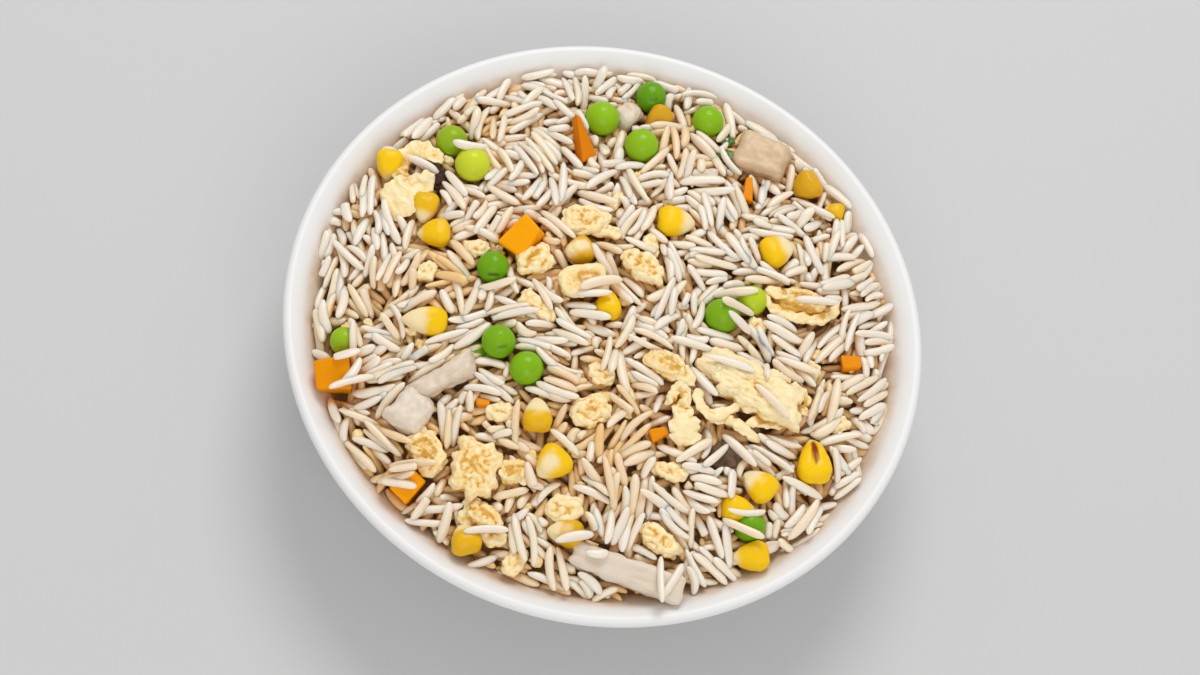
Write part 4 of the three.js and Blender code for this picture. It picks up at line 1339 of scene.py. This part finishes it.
# Grains that lie on toppings: x, y and the turn in degrees.
ON_TOPPINGS = [
    (-56.0, -25.0, 130), (-55.5, -28.0, 110), (29.0, 9.6, 10), (27.5, 13.6, 20), (30.5, 6.0, 345),
    (44.6, -38.6, 20), (45.0, -43.0, 350), (39.5, -33.2, 100), (-33.0, -52.8, 10), (-12.0, -63.0, 20),
    (-45.0, 31.6, 15), (31.0, -5.6, 0), (43.0, -12.0, 330), (40.0, -4.0, 100), (-5.0, 1.0, 20),
    (47.0, 19.0, 15), (-57.0, -32.0, 30), (8.0, -58.5, 30), (-36.0, -56.5, 15), (-33.0, -54.5, 22),
    (-34.5, -58.3, 8), (-28.0, -59.7, 76), (-4.0, 3.6, 35), (32.5, -60.6, 75),
    (30.0, -61.5, 105), (14.0, -60.0, 20), (-53.8, -35.4, 75), (-52.6, -38.0, 40), (33.8, -28.0, 62),
    (39.0, -24.6, 150),
]

# How far grains keep off a topping: 1 for the parts that show in full.
KEPT_CLEAR = {
    "pea": 1.0, "corn": 1.0, "carrot": 1.0, "chicken": 0.5, "mushroom": 0.3, "egg": 0.5, "greens": 0.4,
}

# Layers of rice: bundles dropped, how high above the heap's surface they may lie, how freely they turn, how
# many spots are compared to find the lowest, and the length as a share of a whole grain's. The first lie
# under the toppings.
UNDER_LAYERS = [(1500, -2.4, 90, 30, 1.0), (1500, -1.2, 60, 30, 1.0), (500, -1.2, 90, 60, 0.6)]
UPPER_LAYERS = [
    (2400, -0.3, 44, 24, 1.0), (900, -0.3, 90, 60, 0.6), (1800, 0.5, 44, 24, 1.0), (600, 0.4, 90, 60, 0.5),
    (900, 1.0, 50, 16, 1.0), (500, 1.6, 60, 4, 1.0),
]


class Drop:
    """Drops grains on a pile, one after another, in bundles that lie side by side.

    Lengths are in millimetres. Of several tries the cheapest is taken, where height costs its millimetres.
    """

    TRIES = 16
    SCATTER = 1.6
    BUNDLE = 5
    BUNDLE_RISE = 0.3
    BUNDLE_SPREAD = math.radians(9.0)
    BESIDE = (0.85, 1.05)
    SLIP = 3.0
    LEAN = 0.16
    MOST_COVER = 0.22
    OVERHANG = 1.4
    BARRED_COST = 40.0
    SLOPE_COST = 0.2
    COVER_COST = 3
    FLATNESS = 0.86
    VARIETY = np.array([0.18, 0.11, 0.08])
    EXTREMES = (-2.4, 1.6)

    def __init__(self):
        rice = settings("rice")
        self.random = np.random.default_rng(rice.seed)
        self.mean = np.array([rice.grain_length, rice.grain_width, rice.grain_width * self.FLATNESS]) / MM
        self.pile = Pile(rice.depth / MM)
        self.grains = []

    def size(self, share=1.0):
        """A grain's own length, width and height."""
        spread = np.clip(self.random.normal(0, 1, 3), *self.EXTREMES)
        return self.mean * (share, 1.0, 1.0) * (1 + self.VARIETY * spread)

    def lowest_spot(self, spots):
        """Of several random places, the one where the pile is furthest below the heap's surface."""
        distance = HEAP_RADIUS * np.sqrt(self.random.uniform(0, 1, spots))
        at = self.random.uniform(0, 2 * math.pi, spots)
        x, y = distance * np.cos(at), distance * np.sin(at)
        i, j = self.pile.cells(x, y)
        level = heap_height(x, y) + lumps(x, y)
        low = (level - self.pile.top[i, j] - self.COVER_COST * self.pile.taken[i, j]).argmax()
        return x[low], y[low]

    def layer(self, count, level, wander, spots, share):
        """Drops bundles of grains that lie side by side."""
        combed = np.array(COMBED, float)
        for _ in range(count):
            x0, y0 = self.lowest_spot(spots)
            x = x0 + self.random.uniform(-self.SCATTER, self.SCATTER, self.TRIES)
            y = y0 + self.random.uniform(-self.SCATTER, self.SCATTER, self.TRIES)
            near = np.hypot(combed[:, 0] - x0, combed[:, 1] - y0).argmin()
            turn = np.radians(combed[near, 2] + self.random.normal(0, wander, self.TRIES))
            placed = self.best_of(x, y, turn, level, share)
            for _ in range(self.random.integers(0, self.BUNDLE)):
                if placed is None:
                    break
                placed = self.best_of(*self.beside(placed), level + self.BUNDLE_RISE, share)

    def beside(self, grain):
        """Places to try beside a grain, on either side of it."""
        x, y, _, turn, _, size = grain
        side = self.random.choice([-1.0, 1.0], self.TRIES)
        side = side * self.random.uniform(*self.BESIDE, self.TRIES) * size[1]
        along = self.random.uniform(-self.SLIP, self.SLIP, self.TRIES)
        turns = turn + self.random.normal(0, self.BUNDLE_SPREAD, self.TRIES)
        return (
            x + along * math.cos(turn) - side * math.sin(turn),
            y + along * math.sin(turn) + side * math.cos(turn),
            turns,
        )

    def best_of(self, x, y, turn, level, share):
        """Lays a grain at the best of these places, if one is free, and returns it."""
        size = self.size(share)
        z, slope, cover, reach = self.pile.rest(x, y, turn, size)
        above = z - heap_height(x, y)
        outside = reach > HEAP_RADIUS + self.OVERHANG
        barred = (cover > self.MOST_COVER) | outside | (above > level + lumps(x, y))
        best = (above + self.BARRED_COST * barred + self.SLOPE_COST * np.abs(slope)).argmin()
        if barred[best]:
            return None
        lean = slope[best] + self.random.normal(0, self.LEAN)
        grain = (x[best], y[best], z[best], turn[best], lean, size)
        self.place(grain)
        return grain

    def place(self, grain):
        self.grains.append(grain)
        self.pile.lay_grain(grain)

    def on_topping(self, x, y, degrees):
        """Lays a grain here, whatever is under it."""
        size = self.size()
        turn = np.radians([degrees])
        z, slope, _, _ = self.pile.rest(np.array([x]), np.array([y]), turn, size)
        self.place((x, y, z[0], turn[0], slope[0], size))


def drop_grains():
    """Drops grains until the heap is full: a list of (x, y, z, turn, slope, size), and the pile."""
    drop = Drop()
    for layer in UNDER_LAYERS:
        drop.layer(*layer)
    for made in bpy.context.scene.objects:
        if "topping" in made:
            drop.pile.lay_mesh(made.data, KEPT_CLEAR[made["topping"]])
    for layer in UPPER_LAYERS:
        drop.layer(*layer)
    for row in ON_TOPPINGS:
        drop.on_topping(*row)
    return [grain for grain in drop.grains if drop.pile.shows(grain)], drop.pile


# How grains differ, as shares of their size: how many are broken and where, how far a broken end bulges, the
# taper, the depth of the waist and of the ribs, and the phases that these start from.
BROKEN_SHARE = 0.1
BROKEN_AT = (-0.1, 0.5)
BROKEN_BULGE = 0.12
TAPER = (-0.05, 0.18)
WAIST = 0.07
RIBS = (0.06, 0.05)
PHASES = (0, 6.28)

# How grains lie, in millimetres and radians: bent sideways, drooping at the ends, and twisted.
SIDEWAYS = 0.45
DROOP = 0.32
TWIST = 0.6

# What lies deep is browned, partly by sauce and partly as painted shade: the window over which the surface
# is levelled, in cells of the pile, the depth of the deepest pit, and the depths at which browning starts and
# over which it grows.
PIT_WINDOW = 8
PIT_DEPTH = 3.0
SOAK_SHADE_START = 0.8
SOAK_SHADE_DEPTH = 2.6
SAUCE_SPREAD = (0.2, 1.6)


def grain_skins(count, random):
    """The unit skins of this many grains: each with its own taper, waist and ends, some of them broken."""
    rings, sides = 11, 10
    s = -np.cos(latitudes(rings))
    turn = circle(sides)
    broken = random.uniform(0, 1, count) < BROKEN_SHARE
    break_at = np.where(broken, random.uniform(*BROKEN_AT, count), 1.0)[:, None]
    past = np.clip((s - break_at) / np.maximum(1 - break_at, 1e-6), 0, 1)
    along = np.minimum(s, break_at + BROKEN_BULGE * past)
    girth = grain_radius(np.minimum(s, break_at)) * np.sqrt(1 - past ** 2)
    taper = random.uniform(*TAPER, (count, 1))
    waist = random.uniform(*PHASES, (count, 1))
    girth = girth * (1 - taper * (s + 1) / 2) * (1 + WAIST * np.sin(2.8 * s + waist))
    groove = random.uniform(*PHASES, (count, 1))
    rib = 1 + RIBS[0] * np.cos(3 * turn + groove) + RIBS[1] * np.cos(2 * turn + 2 * groove)
    round_y = (rib * np.cos(turn))[:, None, :] * girth[..., None]
    round_z = (rib * np.sin(turn))[:, None, :] * girth[..., None]
    long_x = np.repeat(along[..., None], sides, axis=2)
    skin = np.stack([long_x, round_y, round_z], axis=3).reshape(count, -1, 3)
    tips = np.zeros((count, 2, 3))
    tips[:, 0, 0] = -1
    tips[:, 1, 0] = np.minimum(1, break_at[:, 0] + BROKEN_BULGE)
    # 1 on the grain's ribs and 0 in its grooves, where tan is painted as shade.
    streak = 0.5 + 0.5 * np.cos(3 * turn + groove)
    streak = np.repeat(streak[:, None], rings, axis=1).reshape(count, -1)
    streak = np.pad(streak, ((0, 0), (1, 1)), constant_values=0.5)
    return np.concatenate([tips[:, :1], skin, tips[:, 1:]], axis=1), streak, capped_faces(rings, sides)


def grain_bodies(grains, pile, random):
    """One body that holds all of these grains."""
    count = len(grains)
    unit, streak, faces = grain_skins(count, random)
    centre = np.array([g[:3] for g in grains])
    heading = np.array([g[3] for g in grains])
    tilt = np.arctan([g[4] for g in grains])
    sizes = np.array([g[5] for g in grains]) / 2
    flip = np.where(random.uniform(0, 1, (count, 1)) < 0.5, -1.0, 1.0)
    along = unit[..., 0] * flip
    points = unit * sizes[:, None]
    points[..., 0] *= flip
    points[..., 1] *= flip
    points[..., 1] += random.normal(0, SIDEWAYS, (count, 1)) * (1 - along ** 2)
    points[..., 2] -= random.uniform(0.0, DROOP, (count, 1)) * along ** 2
    points = turned_by(points, random.uniform(-TWIST, TWIST, count), 1, 2)
    points = turned_by(points, tilt, 0, 2)
    points = turned_by(points, heading, 0, 1)
    placed = (points + centre[:, None]).reshape(-1, 3)
    # Painted shade: how far each point lies below the levelled surface, for darker grains in the pits.
    level = smoothed(pile.top, PIT_WINDOW)
    i, j = pile.cells(placed[:, 0], placed[:, 1])
    pit_shade = np.clip((level[i, j] - placed[:, 2]) / PIT_DEPTH, 0, 1)
    per = unit.shape[1]
    own = np.repeat(random.uniform(0, 1, count), per)
    # Grains further below the heap's surface are browner: partly sauce, partly painted shade.
    under = heap_height(centre[:, 0], centre[:, 1]) - centre[:, 2]
    depth = np.repeat(np.clip((under - SOAK_SHADE_START) / SOAK_SHADE_DEPTH, 0, 1), per)
    quads = (faces[None] + (np.arange(count) * per)[:, None, None]).reshape(-1, 4)
    quads[np.tile(faces[:, 3] < 0, count), 3] = -1
    patches = np.array(SAUCY, float)
    away = np.hypot(centre[:, :1] - patches[:, 0], centre[:, 1:2] - patches[:, 1]) / patches[:, 2]
    share = (patches[:, 3] * np.exp(-away ** 2)).sum(1) * random.uniform(*SAUCE_SPREAD, count)
    sauce = np.repeat(share, per)
    return Body(placed, quads, own=own, depth=depth, pit_shade=pit_shade, streak=streak.ravel(), sauce=sauce)


def turned_by(points, angles, first, second):
    """Groups of points turned in the plane of two axes, each group by its own angle."""
    c, s = np.cos(angles)[:, None], np.sin(angles)[:, None]
    a, b = points[..., first].copy(), points[..., second].copy()
    points[..., first], points[..., second] = a * c - b * s, a * s + b * c
    return points


# ------------------------------------------------------------------ operators

class RICEPLATE_OT_plate(bpy.types.Operator):
    """Turn the plate and glaze it"""

    bl_idname = "riceplate.plate"
    bl_label = "Plate"

    SIDES = 144
    UNDERSIDE = 0.5
    BARE_LIP = 2
    FILM_FADE = 1.6

    def execute(self, context):
        body = turned(plate_profile(), self.SIDES)
        radius = np.hypot(body.points[:, 0], body.points[:, 1])
        above = body.points[:, 2] - heap_height(HEAP_RADIUS, 0)
        reach = settings("plate").film_reach / MM
        upper = body.points[:, 2] > well_height(radius) - self.UNDERSIDE
        inner_face = upper & (radius < RIM_RADIUS - self.BARE_LIP)
        # Painted contact shade: darkest just above the food and fading up the wall, partly sauce and partly
        # shade.
        film_and_contact_shade = np.where(inner_face, np.clip(1 - above / reach, 0, 1) ** self.FILM_FADE, 0)
        body.values["film_and_contact_shade"] = film_and_contact_shade.astype(float)
        piece("plate_glazed", body, finish_of("plate"), ["plate"])
        return {"FINISHED"}


class RICEPLATE_OT_peas(bpy.types.Operator):
    """Add the green peas"""

    bl_idname = "riceplate.peas"
    bl_label = "Peas"

    def execute(self, context):
        topping_operator("pea", PEAS, pea_body, angles=0)
        return {"FINISHED"}


class RICEPLATE_OT_corn(bpy.types.Operator):
    """Add the sweetcorn kernels"""

    bl_idname = "riceplate.corn"
    bl_label = "Sweetcorn"

    def execute(self, context):
        topping_operator("corn", CORN, kernel_body)
        return {"FINISHED"}


class RICEPLATE_OT_carrots(bpy.types.Operator):
    """Add the diced carrot"""

    bl_idname = "riceplate.carrots"
    bl_label = "Carrot"

    def execute(self, context):
        topping_operator("carrot", CARROTS, carrot_body)
        return {"FINISHED"}


class RICEPLATE_OT_chicken(bpy.types.Operator):
    """Add the pieces of cooked chicken"""

    bl_idname = "riceplate.chicken"
    bl_label = "Chicken"

    def execute(self, context):
        topping_operator("chicken", CHICKEN, chicken_body)
        return {"FINISHED"}


class RICEPLATE_OT_mushrooms(bpy.types.Operator):
    """Add the dark mushroom"""

    bl_idname = "riceplate.mushrooms"
    bl_label = "Mushroom"

    def execute(self, context):
        topping_operator("mushroom", MUSHROOMS, mushroom_body)
        return {"FINISHED"}


class RICEPLATE_OT_egg(bpy.types.Operator):
    """Add the scrambled egg"""

    bl_idname = "riceplate.egg"
    bl_label = "Egg"

    def execute(self, context):
        for index, (node, row) in enumerate(EGGS.items()):
            matrix, half = seat_of(node, *row[:3])
            add_topping("egg", node, egg_body(node, half, matrix, row[3:], topping_seed("egg", index)))
        return {"FINISHED"}


class RICEPLATE_OT_scraps(bpy.types.Operator):
    """Add the small scraps of every kind"""

    bl_idname = "riceplate.scraps"
    bl_label = "Scraps"

    SCRAP_SEED = 500
    CRUMB_SEED = 800
    CRUMBS = 70
    LIFT = 0.2

    def execute(self, context):
        makers = {
            "corn": (kernel_body, (0.4, 0.1, 0.0, 0.0)), "carrot": (carrot_body, (0.4, 0.3)),
            "chicken": (chicken_body, (0.0, 0.7)), "egg": (egg_scrap, (2.2, 0.4, 28)),
            "greens": (greens_body, ()),
        }
        for kind, (make, look) in makers.items():
            rows = [row[1:] for row in SCRAPS if row[0] == kind]
            bodies = []
            for index, (x, y, long, wide, high, turn) in enumerate(rows):
                half = np.array([long, wide, high]) / 2
                seed = self.SCRAP_SEED + 10 * len(kind) + index
                bodies.append(make(half, look, seed).moved(self.seat(x, y, self.LIFT, turn)))
            if kind == "egg":
                bodies += self.crumbs()
            made = piece(kind + "_scraps", joined(bodies), finish_of(kind), ["rice"])
            made["topping"] = kind
        return {"FINISHED"}

    def seat(self, x, y, lift, turn):
        """A place this far above the heap's surface, turned by so many degrees."""
        place = Matrix.Translation((x, y, float(heap_height(x, y)) + lift))
        return place @ rotation(turn, 0, 0).to_4x4()

    def crumbs(self):
        """Small crumbs of egg between the grains."""
        random = np.random.default_rng(settings("rice").seed + 3)
        bodies = []
        for number in range(self.CRUMBS):
            distance, at = HEAP_RADIUS * 0.95 * math.sqrt(random.uniform()), random.uniform(0, 2 * math.pi)
            x, y = distance * math.cos(at), distance * math.sin(at)
            half = np.array([1.0, random.uniform(0.5, 0.9), 0.5]) * random.uniform(0.7, 1.9)
            seat = self.seat(x, y, random.uniform(-1.0, 0.3), math.degrees(at) * 7)
            look = (1.2, random.uniform(0.4, 1.3), 12)
            bodies.append(egg_scrap(half, look, self.CRUMB_SEED + number).moved(seat))
        return bodies


class RICEPLATE_OT_rice(bpy.types.Operator):
    """Fill the plate with rice, grain by grain"""

    bl_idname = "riceplate.rice"
    bl_label = "Rice"

    PER_PIECE = 850
    CORE_INSET = 1.2
    CORE_SIDES = 120
    CORE_THINNEST = 0.2
    CORE_GAP = 0.05

    def execute(self, context):
        rice = settings("rice")
        radii = np.linspace(0, HEAP_RADIUS - self.CORE_INSET, 48)
        upper = heap_height(radii, 0) - rice.depth / MM
        upper = np.maximum(upper, well_height(radii) + self.CORE_THINNEST)
        lower = well_height(radii[::-1]) + self.CORE_GAP
        section = [np.stack([radii, upper], 1), np.stack([radii[::-1], lower], 1)[1:]]
        # The core is a dark body that stands in for the shade under the loose grains.
        core = turned(np.concatenate(section), self.CORE_SIDES)
        piece("rice_core_shade", core, finish_of("core"), ["rice"])
        grains, pile = drop_grains()
        random = np.random.default_rng(rice.seed + 1)
        for number, start in enumerate(range(0, len(grains), self.PER_PIECE)):
            body = grain_bodies(grains[start:start + self.PER_PIECE], pile, random)
            piece(f"rice_grains_{number + 1}", body, finish_of("rice"), ["rice"])
        return {"FINISHED"}


class RICEPLATE_OT_stage(bpy.types.Operator):
    """Add the floor, the lights and the camera"""

    bl_idname = "riceplate.stage"
    bl_label = "Studio"

    FRAME_WIDTH = 1200
    RIM_CENTRE_PIXEL = (607.4, 320.2)
    FRAME_CENTRE_PIXEL = (600.0, 337.5)
    FLOOR_REACH = 4.0
    LENS = 85.0
    SENSOR_WIDTH = 36.0
    NEAREST = 0.01
    # Places and widths of the lights, in metres.
    KEY = (-0.10, 0.62, 0.80), 0.55
    FILL = (0.25, -0.75, 0.65), 0.8

    def execute(self, context):
        stage = settings("stage")
        self.floor()
        self.camera(stage)
        self.light("key", *self.KEY, stage.key)
        self.light("fill", *self.FILL, stage.fill)
        world = bpy.data.worlds.new("studio")
        context.scene.world = world
        world.use_nodes = True
        background = world.node_tree.nodes["Background"]
        background.inputs["Color"].default_value = (1.0, 1.0, 1.0, 1.0)
        background.inputs["Strength"].default_value = stage.sky
        context.scene.view_settings.view_transform = "Standard"
        return {"FINISHED"}

    def floor(self):
        mesh = bpy.data.meshes.new("floor")
        reach = self.FLOOR_REACH
        mesh.from_pydata([(-reach, -reach, 0), (reach, -reach, 0), (reach, reach, 0), (-reach, reach, 0)], [],
                         [(0, 1, 2, 3)])
        mesh.materials.append(floor_finish())
        floor = bpy.data.objects.new("floor", mesh)
        bpy.context.scene.collection.objects.link(floor)

    def camera(self, stage):
        camera = bpy.data.objects.new("camera", bpy.data.cameras.new("camera"))
        camera.data.lens = self.LENS
        camera.data.sensor_width = self.SENSOR_WIDTH
        camera.data.clip_start = self.NEAREST
        back = Vector((0, -math.cos(stage.elevation), math.sin(stage.elevation)))
        up = Vector((0, math.sin(stage.elevation), math.cos(stage.elevation)))
        right = Vector((1, 0, 0))
        rolled_right = right * math.cos(stage.roll) + up * math.sin(stage.roll)
        rolled_up = up * math.cos(stage.roll) - right * math.sin(stage.roll)
        pose = Matrix((rolled_right, rolled_up, back)).transposed().to_4x4()
        pose.translation = Vector((0, 0, RIM_HEIGHT * MM)) + back * stage.distance
        camera.matrix_world = pose
        offset = [c - r for c, r in zip(self.FRAME_CENTRE_PIXEL, self.RIM_CENTRE_PIXEL)]
        camera.data.shift_x = offset[0] / self.FRAME_WIDTH
        camera.data.shift_y = -offset[1] / self.FRAME_WIDTH
        bpy.context.scene.collection.objects.link(camera)
        bpy.context.scene.camera = camera

    def light(self, name, place, size, power):
        """A round soft light that points at the middle of the plate's rim."""
        target = Vector((0, 0, RIM_HEIGHT * MM))
        lamp = bpy.data.lights.new(name, "AREA")
        lamp.shape = "DISK"
        lamp.size = size
        lamp.energy = power
        made = bpy.data.objects.new(name, lamp)
        made.location = place
        made.rotation_euler = (target - Vector(place)).to_track_quat("-Z", "Y").to_euler()
        bpy.context.scene.collection.objects.link(made)


class RICEPLATE_PT_panel(bpy.types.Panel):
    """Lists the steps of the dish and what can be changed"""

    bl_idname = "RICEPLATE_PT_panel"
    bl_label = "Fried rice plate"
    bl_space_type = "VIEW_3D"
    bl_region_type = "UI"
    bl_category = "Fried rice"

    def draw(self, context):
        for step in STEPS:
            self.layout.operator(step.bl_idname)
        for name, group in SETTINGS.items():
            column = self.layout.column(heading=name.title())
            for key in group.__annotations__:
                column.prop(settings(name), key)


STEPS = [
    RICEPLATE_OT_stage, RICEPLATE_OT_plate, RICEPLATE_OT_peas, RICEPLATE_OT_corn, RICEPLATE_OT_carrots,
    RICEPLATE_OT_chicken, RICEPLATE_OT_mushrooms, RICEPLATE_OT_egg, RICEPLATE_OT_scraps, RICEPLATE_OT_rice,
]


def register():
    for group in [*SETTINGS.values(), *STEPS, RICEPLATE_PT_panel]:
        bpy.utils.register_class(group)
    for name, group in SETTINGS.items():
        setattr(bpy.types.Scene, "fried_rice_" + name, bpy.props.PointerProperty(type=group))


def unregister():
    for name in SETTINGS:
        delattr(bpy.types.Scene, "fried_rice_" + name)
    for group in reversed([*SETTINGS.values(), *STEPS, RICEPLATE_PT_panel]):
        bpy.utils.unregister_class(group)


def main():
    register()
    for step in STEPS:
        area, name = step.bl_idname.split(".")
        getattr(getattr(bpy.ops, area), name)()


if __name__ == "__main__":
    main()
